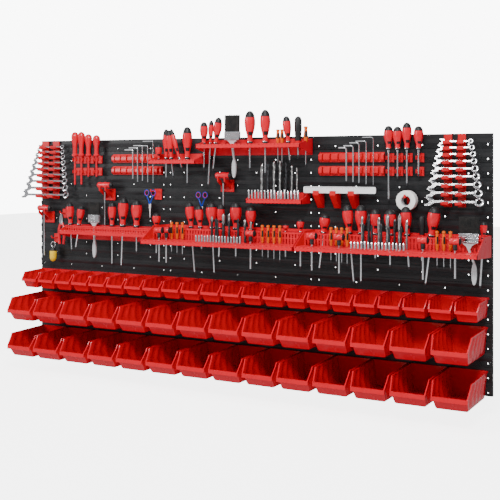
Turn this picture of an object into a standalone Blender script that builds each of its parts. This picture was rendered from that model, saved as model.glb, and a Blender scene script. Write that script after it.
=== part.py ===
"""A tool wall: six slatted plastic wall panels with bins, tool shelves, racks, hooks and a few hand tools.

Metres, +Z up. The origin is on the wall plane, behind the middle of the wall, where the two middle
panels meet. +X runs to the viewer's right, +Y into the wall, and everything stands out towards -Y.
"""

import math

import bmesh
import bpy
from mathutils import Matrix, Vector

MM = 0.001
GAP = 0.3 * MM

# Wall panels: a 3 by 2 field of identical slatted panels.
PANEL_COLUMNS = ("left", "middle", "right")
PANEL_W = 576 * MM
PANEL_H = 390 * MM
SLATS = 9
SLAT = PANEL_H / SLATS
WALL_LEFT = -1.5 * PANEL_W
FRONT = -12 * MM
BAND = -11 * MM
GROOVE = -9.5 * MM
GROOVE_H = 2.5 * MM
SLOT_FLOOR = 21 * MM
LIP_DOWN = 13 * MM
LIP_IN = -13.4 * MM
LIP_OUT = -15.4 * MM
SKIN_BACK = -7.5 * MM
RIB_T = 2 * MM
RIBS = 7

# A tab on the lower middle panel that slips behind the upper one.
TAB_HALF = 30 * MM
TAB_T = 3 * MM
TAB_UP = 14 * MM

# Everything hung on the wall stands just in front of the slat lips and hooks over one of them.
HUNG = LIP_OUT - 0.6 * MM
HOOK_IN = BAND - 0.4 * MM
HOOK_T = 1.6 * MM
HOOK_DEPTH = 6.5 * MM
HOOK_BAR = 2 * MM

# Medium bins, two rows of 14, and one row of 22 small bins.
MEDIUM_COUNT = 14
MEDIUM_PITCH = 122 * MM
MEDIUM = {"rear": 120, "front": 118, "floor": 102, "depth": 202, "height": 84, "brow": 27, "lip": 39}
SMALL_COUNT = 22
SMALL_PITCH = 77.9 * MM
SMALL = {"rear": 76, "front": 75, "floor": 64, "depth": 120, "height": 60, "brow": 17, "lip": 32}
BIN_WALL = 2 * MM
BIN_SHOULDER = 4 * MM
MEDIUM_HOOK_HALF = 48 * MM
SMALL_HOOK_HALF = 36 * MM
MEDIUM_SLATS = {"upper": 5, "lower": 8}
SMALL_SLAT = 3

# Tool shelves: left end, width, depth, height of the deck, top and foot of the back plate, number of tool
# holes and how far in front of the back they are. Three have a raised rail behind, of a height and a depth.
SHELF_T = 2.6 * MM
SHELF_FRONT_H = 14 * MM
SHELF_HOLE = 9 * MM
SHELF_FIELDS = ("left", "width", "depth", "deck", "top", "foot", "holes", "hole_back", "rail", "rail_depth")
SHELVES = {
    "shelf_low_left": dict(zip(SHELF_FIELDS, (-692, 390, 100, 59, 76, 21, 9, 46, 75, 62))),
    "shelf_low_middle": dict(zip(SHELF_FIELDS, (-287, 573, 160, 43, 87, 22, 13, 60, 80, 84))),
    "shelf_low_right": dict(zip(SHELF_FIELDS, (290, 572, 160, 43, 87, 22, 13, 60, 80, 84))),
    "shelf_high": dict(zip(SHELF_FIELDS, (-104, 387, 100, 366, 382, 329, 9, 46, 0, 0))),
    "shelf_high_left": dict(zip(SHELF_FIELDS, (-297, 190, 100, 315, 336, 301, 5, 46, 0, 0))),
    "shelf_drill": dict(zip(SHELF_FIELDS, (72, 203, 70, 185, 206, 176, 6, 32, 0, 0))),
}
SHELF_HOOK_W = 24 * MM
SHELF_HOOK_INSET = 20 * MM
SHELF_CHEEK_BACK = 12 * MM
SHELF_CHEEK_FRONT = 6 * MM

# Rails for hex keys: left end, width and the slat, counted up from the joint, that each hooks on.
RAIL_W = {"left": 218 * MM, "right": 222 * MM}
RAIL_X = {"left": -519 * MM, "right": 308 * MM}
RAIL_SLAT = {"upper": 8, "lower": 7}
RAIL_H = 31 * MM
RAIL_OUT = 13 * MM
RAIL_PLATE_T = 3 * MM
RAIL_NOSE_INSET = 4 * MM
RAIL_HOOK_INSET = 10 * MM
RAIL_NOTCHES = 8
NOTCH_HALF = 2 * MM
NOTCH_GROWTH = 0.35 * MM
NOTCH_DEEP = 8 * MM

# Wrench racks: two combs on each side of the wall, nine arms each.
RACK_ROWS = 9
RACK_TOP = 371 * MM
RACK_STEP = 19 * MM
RACK_GROWTH = 1.15 * MM
RACKS = {
    "left_outer": (-857, 34),
    "left_inner": (-802, 30),
    "right_inner": (719, 25),
    "right_outer": (762, 24),
}
RACK_BACK = 3 * MM
RACK_OVER = 18 * MM
ARM_DROP = 9 * MM
ARM_UPTURN = 8 * MM
ARM_T = 3 * MM
ARM_REACH = (22 * MM, 42 * MM)

# Brackets, ruler, tape and scissors.
RULER_SPAN = (262 * MM, 510 * MM)
RULER_Z = (206 * MM, 227 * MM)
RULER_Y = -42 * MM
RULER_T = 4 * MM
BRACKET_X = (314 * MM, 372 * MM, 434 * MM)
BRACKET_W = 20 * MM
BRACKET_H = 48 * MM
BRACKET_REACH = 47 * MM
BRACKET_TIP = 8 * MM
TAPE_CENTRE = Vector((0.6114, -0.045, 0.187))
TAPE_R = 31 * MM
TAPE_CORE_R = 14.5 * MM
TAPE_W = 24 * MM
TAPE_REACH = 52 * MM
PRONG_R = 3 * MM
SCISSORS_PIVOT = Vector((-0.3455, -0.033, 0.157))
SCISSORS_T = 2 * MM
SCISSORS_REACH = 32 * MM
RING_R = 10.5 * MM
RING_BAR = 2.4 * MM
RING_OUT = 13 * MM
RING_UP = 41 * MM
BLADE = 48 * MM

# The screwdriver whose cap is the highest point, and the wrench that reaches furthest to the left.
DRIVER_HOLE = 5
DRIVER_HANDLE = 112 * MM
DRIVER_R = 17 * MM
DRIVER_SHAFT_R = 3.2 * MM
DRIVER_TIP = 262 * MM
WRENCH_SPAN = (-938 * MM, -712 * MM)
WRENCH_T = 5 * MM
WRENCH_BAR = 10 * MM
WRENCH_LEAN = math.radians(28)
WRENCH_OUT = 24 * MM

RED = (0.78, 0.015, 0.02)
CHARCOAL = (0.02, 0.021, 0.023)
STEEL = (0.72, 0.72, 0.74)
WHITE = (0.85, 0.85, 0.84)
BLUE = (0.02, 0.08, 0.6)


def clear_scene():
    for thing in list(bpy.data.objects):
        bpy.data.objects.remove(thing)


def material(name, colour, roughness, metallic=0.0):
    made = bpy.data.materials.new(name)
    made.use_nodes = True
    shader = made.node_tree.nodes["Principled BSDF"]
    shader.inputs["Base Color"].default_value = (*colour, 1)
    shader.inputs["Roughness"].default_value = roughness
    shader.inputs["Metallic"].default_value = metallic
    return made


def mesh_object(name, bm):
    """A new object from a bmesh, with its normals facing out."""
    bmesh.ops.recalc_face_normals(bm, faces=bm.faces)
    mesh = bpy.data.meshes.new(name)
    bm.to_mesh(mesh)
    bm.free()
    made = bpy.data.objects.new(name, mesh)
    bpy.context.scene.collection.objects.link(made)
    return made


def prism(name, outline, axis, low, high):
    """An outline of (u, v) points pulled along an axis: "x" reads them as (y, z) and "y" as (x, z)."""
    bm = bmesh.new()
    if axis == "x":
        ends = [[bm.verts.new((end, u, v)) for u, v in outline] for end in (low, high)]
    else:
        ends = [[bm.verts.new((u, end, v)) for u, v in outline] for end in (low, high)]
    for end in ends:
        bm.faces.new(end)
    count = len(outline)
    for i in range(count):
        j = (i + 1) % count
        bm.faces.new((ends[0][i], ends[0][j], ends[1][j], ends[1][i]))
    return mesh_object(name, bm)


def box(name, low, high):
    outline = [(low[1], low[2]), (high[1], low[2]), (high[1], high[2]), (low[1], high[2])]
    return prism(name, outline, "x", low[0], high[0])


def turned(name, profile, centre, axis="z", sides=16):
    """A closed solid of revolution from (radius, height) points, on the axis or as a ring off it."""
    bm = bmesh.new()
    rings = []
    for radius, height in profile:
        if radius == 0:
            rings.append([bm.verts.new((0, 0, height))])
            continue
        angles = [2 * math.pi * i / sides for i in range(sides)]
        rings.append([bm.verts.new((radius * math.cos(a), radius * math.sin(a), height)) for a in angles])
    closed = profile[0][0] != 0
    pairs = list(zip(rings, rings[1:])) + ([(rings[-1], rings[0])] if closed else [])
    for one, two in pairs:
        for i in range(sides):
            j = (i + 1) % sides
            corners = [one[i % len(one)], one[j % len(one)], two[j % len(two)], two[i % len(two)]]
            bm.faces.new(list(dict.fromkeys(corners)))
    if axis == "y":
        bmesh.ops.rotate(bm, verts=bm.verts, matrix=Matrix.Rotation(math.pi / 2, 3, "X"))
    made = mesh_object(name, bm)
    made.data.shade_smooth()
    made.data.set_sharp_from_angle(angle=math.radians(40))
    made.location = centre
    return made


def helper_group(name, pieces):
    """A collection of shapes that only feed a Boolean."""
    group = bpy.data.collections.new(name)
    bpy.context.scene.collection.children.link(group)
    for piece in pieces:
        bpy.context.scene.collection.objects.unlink(piece)
        group.objects.link(piece)
        piece.hide_render = True
        piece.display_type = "WIRE"
    return group


def joined(name, pieces, finish, cutters=()):
    """The first piece, united with the others and then cut, as one body called name."""
    base = pieces[0]
    base.name = name
    base.data.materials.append(finish)
    for operation, shapes in (("UNION", pieces[1:]), ("DIFFERENCE", cutters)):
        if not shapes:
            continue
        step = base.modifiers.new(operation.title(), "BOOLEAN")
        step.operation = operation
        step.operand_type = "COLLECTION"
        step.collection = helper_group(f"{name}_{operation.lower()}", shapes)
    return base


def put_origin(piece, point):
    """Puts a piece's origin at the point that it turns about or hangs from, and moves nothing else."""
    piece.data.transform(Matrix.Translation(-point))
    piece.location = point


def lip_top(height):
    """The top of the slat lip that is nearest below a height on the wall."""
    return math.floor((height + LIP_DOWN) / SLAT) * SLAT - LIP_DOWN


def hook(x0, x1, lip):
    """A bar over the slat lip with a tongue down behind it."""
    low = lip + GAP
    over = box("hook_over", (x0, HUNG - 1 * MM, low), (x1, HOOK_IN, low + HOOK_BAR))
    tongue = box("hook_tongue", (x0, HOOK_IN - HOOK_T, lip - HOOK_DEPTH), (x1, HOOK_IN, low + HOOK_BAR))
    return [over, tongue]


def slat_outline(top):
    """The front of one slat, from its groove down to the next one."""
    return [
        (FRONT, top),
        (GROOVE, top),
        (GROOVE, top - GROOVE_H),
        (BAND, top - GROOVE_H),
        (BAND, top - SLOT_FLOOR),
        (LIP_IN, top - SLOT_FLOOR),
        (LIP_IN, top - LIP_DOWN),
        (LIP_OUT, top - LIP_DOWN),
        (LIP_OUT, top - SLOT_FLOOR),
        (FRONT, top - SLOT_FLOOR - 5 * MM),
    ]


def panel(name, left, bottom, finish, tab=False):
    x0 = left + GAP / 2
    x1 = left + PANEL_W - GAP / 2
    z0 = bottom + GAP / 2
    z1 = bottom + PANEL_H - GAP / 2
    front = []
    for i in range(SLATS):
        front += slat_outline(bottom + PANEL_H - i * SLAT)
    front[0] = (FRONT, z1)
    front[1] = (GROOVE, z1)
    outline = front + [(FRONT, z0), (SKIN_BACK, z0), (SKIN_BACK, z1)]
    pieces = [prism("panel_skin", outline, "x", x0, x1)]
    reach = SKIN_BACK - 0.5 * MM
    for i in range(RIBS):
        x = x0 + i * (x1 - x0 - RIB_T) / (RIBS - 1)
        pieces.append(box("panel_rib", (x, reach, z0), (x + RIB_T, 0, z1)))
    pieces.append(box("panel_foot", (x0, reach, z0), (x1, 0, z0 + RIB_T)))
    pieces.append(box("panel_head", (x0, reach, z1 - RIB_T), (x1, 0, z1)))
    if tab:
        pieces.append(box("join_tab", (-TAB_HALF, -TAB_T, z1 - RIB_T), (TAB_HALF, 0, z1 + TAB_UP)))
    return joined(name, pieces, finish)


def panels():
    finish = material("panel_charcoal", CHARCOAL, 0.5)
    for column, side in enumerate(PANEL_COLUMNS):
        left = WALL_LEFT + column * PANEL_W
        panel(f"panel_lower_{side}", left, -PANEL_H, finish, tab=side == "middle")
        upper = panel(f"panel_upper_{side}", left, 0, finish)
        if side == "middle":
            half = TAB_HALF + 1 * MM
            room = box("tab_room", (-half, -TAB_T - 1 * MM, -1 * MM), (half, 1 * MM, TAB_UP + 1 * MM))
            cut = upper.modifiers.new("TabRoom", "BOOLEAN")
            cut.operation = "DIFFERENCE"
            cut.object = room
            room.hide_render = True
            room.display_type = "WIRE"


def bin_shell(x, y, rim, size):
    """An open-fronted bin: a tapered tub whose front is cut low, with walls of one thickness."""
    size = {key: value * MM for key, value in size.items()}
    height, depth, brow = size["height"], size["depth"], size["brow"]
    side = [
        (0, height),
        (-(depth - brow), height - BIN_SHOULDER),
        (-depth, size["lip"]),
        (-(depth - brow), 0),
        (0, 0),
    ]
    wall = BIN_WALL
    inner = [
        (-wall, height),
        (-(depth - brow) + wall, height - BIN_SHOULDER),
        (-depth + wall, size["lip"]),
        (-(depth - brow) + wall, wall),
        (-wall, wall),
    ]

    def half_width(point, thin):
        back = size["rear"] + (size["front"] - size["rear"]) * (-point[0] / depth)
        return (back - (size["rear"] - size["floor"]) * (1 - point[1] / height)) / 2 - thin

    bm = bmesh.new()
    rings = []
    for outline, thin in ((side, 0), (inner, wall)):
        for sign in (-1, 1):
            rings.append([
                bm.verts.new((x + sign * half_width(p, thin), y + p[0], rim - height + p[1])) for p in outline
            ])
    for left, right in (rings[:2], rings[2:]):
        bm.faces.new(left)
        bm.faces.new(right)
        for i, j in ((2, 3), (3, 4), (4, 0)):
            bm.faces.new((left[i], left[j], right[j], right[i]))
    outer_left, outer_right, inner_left, inner_right = rings
    for i, j in ((0, 1), (1, 2)):
        bm.faces.new((outer_left[i], outer_left[j], inner_left[j], inner_left[i]))
        bm.faces.new((outer_right[i], outer_right[j], inner_right[j], inner_right[i]))
    for i in (0, 2):
        bm.faces.new((outer_left[i], outer_right[i], inner_right[i], inner_left[i]))
    return mesh_object("bin_shell", bm)


def bins():
    finish = material("bin_red", RED, 0.25)
    first = -(MEDIUM_COUNT - 1) * MEDIUM_PITCH / 2
    for row, slat in MEDIUM_SLATS.items():
        lip = -(slat - 1) * SLAT - LIP_DOWN
        rim = lip + GAP + HOOK_BAR
        for i in range(MEDIUM_COUNT):
            x = first + i * MEDIUM_PITCH
            shell = bin_shell(x, HUNG, rim, MEDIUM)
            grip = hook(x - MEDIUM_HOOK_HALF, x + MEDIUM_HOOK_HALF, lip)
            made = joined(f"medium_bin_{row}_{i + 1:02d}", [shell] + grip, finish)
            put_origin(made, Vector((x, HUNG, rim)))
    lip = -(SMALL_SLAT - 1) * SLAT - LIP_DOWN
    rim = lip + GAP + HOOK_BAR
    first = -(SMALL_COUNT - 1) * SMALL_PITCH / 2
    shells = [bin_shell(first + i * SMALL_PITCH, HUNG, rim, SMALL) for i in range(SMALL_COUNT)]
    grip = hook(first - SMALL_HOOK_HALF, -first + SMALL_HOOK_HALF, lip)
    joined("small_bin_row", grip + shells, finish)


def hole_place(plan, i):
    """Where tool hole i of a shelf is, as (x, y)."""
    x = (plan["left"] + (i + 0.5) * plan["width"] / plan["holes"]) * MM
    return x, HUNG - plan["hole_back"] * MM


def shelf(name, plan, finish):
    left = plan["left"] * MM
    right = left + plan["width"] * MM
    back = HUNG
    front = back - plan["depth"] * MM
    deck = plan["deck"] * MM
    top = plan["top"] * MM
    foot = plan["foot"] * MM
    pieces = [box("shelf_deck", (left, front, deck - SHELF_T), (right, back, deck))]
    pieces.append(box("shelf_front", (left, front, deck - SHELF_FRONT_H), (right, front + SHELF_T, deck)))
    pieces.append(box("shelf_plate", (left, back - SHELF_T, foot), (right, back, top)))
    high = deck
    cheek_back = back - SHELF_CHEEK_BACK
    if plan["rail"]:
        high = plan["rail"] * MM
        riser = back - plan["rail_depth"] * MM
        cheek_back = riser
        pieces.append(box("shelf_rail", (left, riser, high - SHELF_T), (right, back, high)))
        pieces.append(box("shelf_riser", (left, riser, deck - SHELF_T), (right, riser + SHELF_T, high)))
    cheek = [
        (back, foot),
        (back, top),
        (cheek_back, top),
        (front + SHELF_CHEEK_FRONT, deck + 1 * MM),
        (front, deck - 1 * MM),
        (front, deck - SHELF_FRONT_H),
    ]
    for x in (left, right - SHELF_T):
        pieces.append(prism("shelf_cheek", cheek, "x", x, x + SHELF_T))
    lip = lip_top(top)
    for x in (left + SHELF_HOOK_INSET, right - SHELF_HOOK_INSET - SHELF_HOOK_W):
        pieces += hook(x, x + SHELF_HOOK_W, lip)
    cutters = []
    for i in range(plan["holes"]):
        x, y = hole_place(plan, i)
        hole_low = (x - SHELF_HOLE / 2, y - SHELF_HOLE / 2, deck - 8 * MM)
        hole_high = (x + SHELF_HOLE / 2, y + SHELF_HOLE / 2, high + 4 * MM)
        cutters.append(box("shelf_hole", hole_low, hole_high))
    return joined(name, pieces, finish, cutters)


def key_rails():
    finish = material("rail_red", RED, 0.3)
    for side, left in RAIL_X.items():
        for level, slat in RAIL_SLAT.items():
            width = RAIL_W[side]
            lip = slat * SLAT - LIP_DOWN
            high = lip + GAP + HOOK_BAR
            low = high - RAIL_H
            pieces = [box("rail_plate", (left, HUNG - RAIL_PLATE_T, low), (left + width, HUNG, high))]
            front = HUNG - RAIL_OUT
            nose_low = (left, front, low + RAIL_NOSE_INSET)
            nose_high = (left + width, HUNG - 2 * MM, high - RAIL_NOSE_INSET)
            pieces.append(box("rail_nose", nose_low, nose_high))
            pieces += hook(left + RAIL_HOOK_INSET, left + width - RAIL_HOOK_INSET, lip)
            notches = []
            for i in range(RAIL_NOTCHES):
                x = left + (i + 0.5) * width / RAIL_NOTCHES
                half = NOTCH_HALF + NOTCH_GROWTH * i
                notch_low = (x - half, front - 1 * MM, low - 1 * MM)
                notch_high = (x + half, front + NOTCH_DEEP, high + 1 * MM)
                notches.append(box("notch", notch_low, notch_high))
            joined(f"key_rail_{side}_{level}", pieces, finish, notches)


def rack_row(i):
    """The height of arm i, whose spacing grows down the rack."""
    return RACK_TOP - i * RACK_STEP - RACK_GROWTH * i * (i - 1) / 2


def wrench_racks():
    finish = material("rack_red", RED, 0.3)
    for side, (left, width) in RACKS.items():
        x0 = left * MM
        x1 = x0 + width * MM
        low = rack_row(RACK_ROWS - 1) - RACK_OVER
        high = RACK_TOP + RACK_OVER
        back = box("rack_back", (x0, HUNG - RACK_BACK, low), (x1, HUNG, high))
        pieces = [back] + hook(x0, x1, lip_top(high))
        for i in range(RACK_ROWS):
            share = i / (RACK_ROWS - 1)
            reach = ARM_REACH[0] + (ARM_REACH[1] - ARM_REACH[0]) * share
            z = rack_row(i) - ARM_DROP
            tip = HUNG - reach
            arm = [
                (HUNG - 1 * MM, z - ARM_T),
                (HUNG - 1 * MM, z),
                (tip + ARM_T, z),
                (tip + ARM_T, z + ARM_UPTURN),
                (tip, z + ARM_UPTURN),
                (tip, z - ARM_T / 2),
                (tip + ARM_T, z - ARM_T),
            ]
            pieces.append(prism("rack_arm", arm, "x", x0 + 1 * MM, x1 - 1 * MM))
        joined(f"wrench_rack_{side}", pieces, finish)


def bracket(name, x, top, finish):
    """A forward bracket: two triangular cheeks with a sloping web between them, open on top."""
    width, height, reach, tip = BRACKET_W, BRACKET_H, BRACKET_REACH, BRACKET_TIP
    cheek_t = 2.5 * MM
    x0 = x - width / 2
    x1 = x + width / 2
    front = HUNG - reach
    cheek = [
        (HUNG, top - height),
        (HUNG, top),
        (front + 4 * MM, top),
        (front + 4 * MM, top + tip),
        (front, top + tip),
        (front, top - 6 * MM),
        (HUNG - 8 * MM, top - height),
    ]
    web = [
        (HUNG, top - height),
        (HUNG, top - height + 3 * MM),
        (HUNG - 7 * MM, top - height + 3 * MM),
        (front + 3 * MM, top - 5 * MM),
        (front + 3 * MM, top + tip),
        (front, top + tip),
        (front, top - 6 * MM),
        (HUNG - 8 * MM, top - height),
    ]
    pieces = [prism("bracket_cheek", cheek, "x", x0, x0 + cheek_t)]
    pieces.append(prism("bracket_cheek", cheek, "x", x1 - cheek_t, x1))
    pieces.append(prism("bracket_web", web, "x", x0 + cheek_t / 2, x1 - cheek_t / 2))
    pieces.append(box("bracket_back", (x0, HUNG - 2 * MM, top - height), (x1, HUNG, top)))
    lip = lip_top(top)
    pieces += hook(x0, x1, lip)
    return joined(name, pieces, finish)


def prong(name, x, z, reach, radius, plate, finish):
    """A back plate with one round prong that ends in an upturned stop. plate is (x0, x1, z0, z1)."""
    x0, x1, z0, z1 = plate
    pieces = [box("prong_plate", (x0, HUNG - 2.5 * MM, z0), (x1, HUNG, z1))]
    front = HUNG - reach
    bar = [(0, 0), (radius, 0), (radius, reach - 1 * MM), (0, reach - 1 * MM)]
    pieces.append(turned("prong_bar", bar, (x, HUNG - 1 * MM, z), "y", 12))
    low = (x - radius, front, z - radius * 0.5)
    high = (x + radius, front + 3 * MM, z + radius + 5 * MM)
    pieces.append(box("prong_stop", low, high))
    pieces += hook(x0, x1, lip_top(z1))
    return joined(name, pieces, finish)


def ruler_set():
    finish = material("hook_red", RED, 0.3)
    for name, x in zip(("left", "middle", "right"), BRACKET_X):
        bracket(f"ruler_bracket_{name}", x, RULER_Z[0] - GAP, finish)
    y0 = RULER_Y - RULER_T / 2
    rule = box("ruler", (RULER_SPAN[0], y0, RULER_Z[0]), (RULER_SPAN[1], y0 + RULER_T, RULER_Z[1]))
    hole = turned("ruler_hole", [(0, -9 * MM), (3 * MM, -9 * MM), (3 * MM, 9 * MM), (0, 9 * MM)],
                  (RULER_SPAN[1] - 12 * MM, RULER_Y, (RULER_Z[0] + RULER_Z[1]) / 2), "y", 12)
    joined("ruler", [rule], material("ruler_white", WHITE, 0.35), [hole])


def tape_set():
    finish = material("hook_red_tape", RED, 0.3)
    centre = TAPE_CENTRE
    prong_z = centre.z + TAPE_CORE_R - PRONG_R - GAP
    plate = (centre.x - 9 * MM, centre.x + 9 * MM, prong_z - 22 * MM, prong_z + 9 * MM)
    prong("tape_hook", centre.x, prong_z - 0.5 * MM, TAPE_REACH, PRONG_R, plate, finish)
    half = TAPE_W / 2
    profile = [(TAPE_CORE_R, -half), (TAPE_R, -half), (TAPE_R, half), (TAPE_CORE_R, half)]
    roll = turned("tape_roll", profile, centre, "y", 32)
    joined("tape_roll", [roll], material("tape_white", WHITE, 0.5))


def scissors_half(name, side, lift, finish):
    """One half: a finger ring, a shank through the pivot and a blade. side is the ring's side."""
    pivot = SCISSORS_PIVOT
    y0 = pivot.y + lift
    y1 = y0 + SCISSORS_T
    centre = Vector((pivot.x + side * RING_OUT, (y0 + y1) / 2, pivot.z + RING_UP))
    half = SCISSORS_T / 2
    ring = [(RING_R - RING_BAR, -half), (RING_R, -half), (RING_R, half), (RING_R - RING_BAR, half)]
    foot = centre.z - RING_R + RING_BAR / 2
    shank = [
        (pivot.x + side * RING_OUT - 3 * MM, foot),
        (pivot.x + side * RING_OUT + 3 * MM, foot),
        (pivot.x + 4.2 * MM, pivot.z + 2 * MM),
        (pivot.x + 4.2 * MM, pivot.z - 6 * MM),
        (pivot.x - side * 3 * MM + 1.2 * MM, pivot.z - BLADE),
        (pivot.x - side * 3 * MM - 1.2 * MM, pivot.z - BLADE),
        (pivot.x - 4.2 * MM, pivot.z - 6 * MM),
        (pivot.x - 4.2 * MM, pivot.z + 2 * MM),
    ]
    pieces = [prism("scissors_shank", shank, "y", y0, y1)]
    pieces.append(turned("scissors_ring", ring, centre, "y", 20))
    made = joined(name, pieces, finish)
    put_origin(made, pivot)


def scissors_set():
    finish = material("hook_red_scissors", RED, 0.3)
    ring_x = SCISSORS_PIVOT.x + RING_OUT
    ring_top = SCISSORS_PIVOT.z + RING_UP + RING_R - RING_BAR
    radius = 2 * MM
    plate = (ring_x - 3 * MM, ring_x + 27 * MM, ring_top - 32 * MM, ring_top + 6 * MM)
    prong("scissors_hook", ring_x, ring_top - radius - GAP, SCISSORS_REACH, radius, plate, finish)
    handles = material("scissors_blue", BLUE, 0.35)
    scissors_half("scissors_fixed_half", 1, 0.2 * MM, handles)
    scissors_half("scissors_moving_half", -1, -SCISSORS_T - 0.2 * MM, handles)


def tall_screwdriver():
    foot = SHELVES["shelf_high"]["deck"] * MM + GAP
    top = foot + DRIVER_HANDLE
    r = DRIVER_R
    profile = [
        (0, DRIVER_TIP),
        (DRIVER_SHAFT_R, DRIVER_TIP + 1 * MM),
        (DRIVER_SHAFT_R, foot),
        (0.55 * r, foot),
        (0.5 * r, foot + 0.18 * DRIVER_HANDLE),
        (0.72 * r, foot + 0.4 * DRIVER_HANDLE),
        (r, foot + 0.62 * DRIVER_HANDLE),
        (0.94 * r, foot + 0.8 * DRIVER_HANDLE),
        (0.62 * r, foot + 0.95 * DRIVER_HANDLE),
        (0, top),
    ]
    x, y = hole_place(SHELVES["shelf_high"], DRIVER_HOLE)
    made = turned("tall_screwdriver", profile, (x, y, 0), "z", 14)
    joined("tall_screwdriver", [made], material("driver_red", RED, 0.35))


def long_wrench():
    """A combination wrench lying in the lowest arms of the left rack, leaning back a little."""
    finish = material("wrench_chrome", STEEL, 0.2, 1.0)
    x0, x1 = WRENCH_SPAN
    half = WRENCH_T / 2
    bar = WRENCH_BAR / 2
    jaw = [
        (x0 + 34 * MM, bar),
        (x0 + 26 * MM, 13 * MM),
        (x0 + 6 * MM, 16 * MM),
        (x0, 12 * MM),
        (x0 + 14 * MM, 6 * MM),
        (x0 + 18 * MM, 0),
        (x0 + 14 * MM, -6 * MM),
        (x0 + 3 * MM, -8 * MM),
        (x0 + 6 * MM, -14 * MM),
        (x0 + 24 * MM, -13 * MM),
        (x0 + 34 * MM, -bar),
    ]
    body = jaw + [(x1 - 16 * MM, -bar), (x1 - 16 * MM, bar)]
    ring = [(6.5 * MM, -4 * MM), (11 * MM, -4 * MM), (11 * MM, 4 * MM), (6.5 * MM, 4 * MM)]
    pieces = [prism("wrench_bar", body, "y", -half, half)]
    pieces.append(turned("wrench_ring", ring, (x1 - 7 * MM, 0, 0), "y", 18))
    joined("long_wrench", pieces, finish)
    rest = rack_row(RACK_ROWS - 1) - ARM_DROP
    lean = Matrix.Rotation(-WRENCH_LEAN, 4, "X")
    lift = bar * math.cos(WRENCH_LEAN) + half * math.sin(WRENCH_LEAN) + 2 * GAP
    place = Matrix.Translation((0, HUNG - WRENCH_OUT, rest + lift))
    bpy.context.view_layer.update()
    for piece in pieces:
        piece.matrix_world = place @ lean @ piece.matrix_world


def main():
    clear_scene()
    panels()
    bins()
    shelf_red = material("shelf_red", RED, 0.3)
    for name, plan in SHELVES.items():
        shelf(name, plan, shelf_red)
    key_rails()
    wrench_racks()
    ruler_set()
    tape_set()
    scissors_set()
    tall_screwdriver()
    long_wrench()


main()
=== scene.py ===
# %% [markdown]
# # A tool wall, dressed around its fixed frame
# The frame holds every load-bearing shape: six slatted panels, bins that hook over a slat, shelves, rails
# and racks. This lesson gives each of them its finish and its fine shape, and then fills the wall with
# hand tools. Sizes are in millimetres times MM, on the frame's own axes: +X right, -Y towards the viewer.

import math
import random

import bmesh
import bpy
from mathutils import Matrix, Vector


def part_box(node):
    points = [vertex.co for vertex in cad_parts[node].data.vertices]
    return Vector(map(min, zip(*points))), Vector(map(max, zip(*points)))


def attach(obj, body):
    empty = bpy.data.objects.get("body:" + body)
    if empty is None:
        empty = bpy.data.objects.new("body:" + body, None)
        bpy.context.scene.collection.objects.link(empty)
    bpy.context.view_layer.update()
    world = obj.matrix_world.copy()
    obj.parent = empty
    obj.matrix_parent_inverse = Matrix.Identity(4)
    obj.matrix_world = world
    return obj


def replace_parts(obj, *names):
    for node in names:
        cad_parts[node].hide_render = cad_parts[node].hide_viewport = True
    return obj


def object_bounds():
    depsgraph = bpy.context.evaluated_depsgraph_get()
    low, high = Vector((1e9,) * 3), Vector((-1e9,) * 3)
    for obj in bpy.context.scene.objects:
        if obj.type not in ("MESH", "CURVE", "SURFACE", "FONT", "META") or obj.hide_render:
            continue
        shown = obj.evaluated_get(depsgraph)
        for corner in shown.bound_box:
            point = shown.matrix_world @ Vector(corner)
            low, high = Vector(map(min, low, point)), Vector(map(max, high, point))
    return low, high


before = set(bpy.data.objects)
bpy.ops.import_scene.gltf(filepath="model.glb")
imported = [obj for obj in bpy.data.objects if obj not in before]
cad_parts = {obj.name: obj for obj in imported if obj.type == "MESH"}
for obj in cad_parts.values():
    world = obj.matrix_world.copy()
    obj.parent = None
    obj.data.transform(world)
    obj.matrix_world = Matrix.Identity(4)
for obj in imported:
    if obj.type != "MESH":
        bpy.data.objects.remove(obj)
cad_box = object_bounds()
MM = 0.001
SEED = 20
chance = random.Random(SEED)
print("nodes in the frame:", len(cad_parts))

# %% [markdown]
# ## Camera
# A wall this wide is seen from the right and from a little above its middle. The lens is long, so that
# the far end isn't much smaller. The camera looks level and is shifted down, as an architect's camera is,
# so that the panels' upright edges stay upright.

# %% Camera
EYE = (1.5401, -2.7551, 0.2867)
LEVEL = 90
TURNED_LEFT = 28.54
camera_data = bpy.data.cameras.new("camera")
camera_data.sensor_width = 36
camera_data.lens = 66.61
camera_data.shift_y = -0.1642
camera = bpy.data.objects.new("camera", camera_data)
camera.location = EYE
camera.rotation_euler = (math.radians(LEVEL), 0, math.radians(TURNED_LEFT))
bpy.context.scene.collection.objects.link(camera)
bpy.context.scene.camera = camera
print("camera at", tuple(round(v, 2) for v in camera.location))

# %% [markdown]
# ## Shared finishes as node groups
# Moulded plastic is never quite even: it has a faint cloudiness, a fine skin, rubbed edges and dust on
# what faces up. These are node groups, built once, so that every plastic here ages in the same way and
# only its numbers differ. A group hands out colours, masks and heights, never a whole shader.


# %% A helper that starts a node group
def start_group(name, inputs, outputs):
    group = bpy.data.node_groups.new(name, "ShaderNodeTree")
    for title, kind, value in inputs:
        made = group.interface.new_socket(title, in_out="INPUT", socket_type=kind)
        made.default_value = value
    for title, kind in outputs:
        group.interface.new_socket(title, in_out="OUTPUT", socket_type=kind)
    return group, group.nodes.new("NodeGroupInput"), group.nodes.new("NodeGroupOutput")


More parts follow.
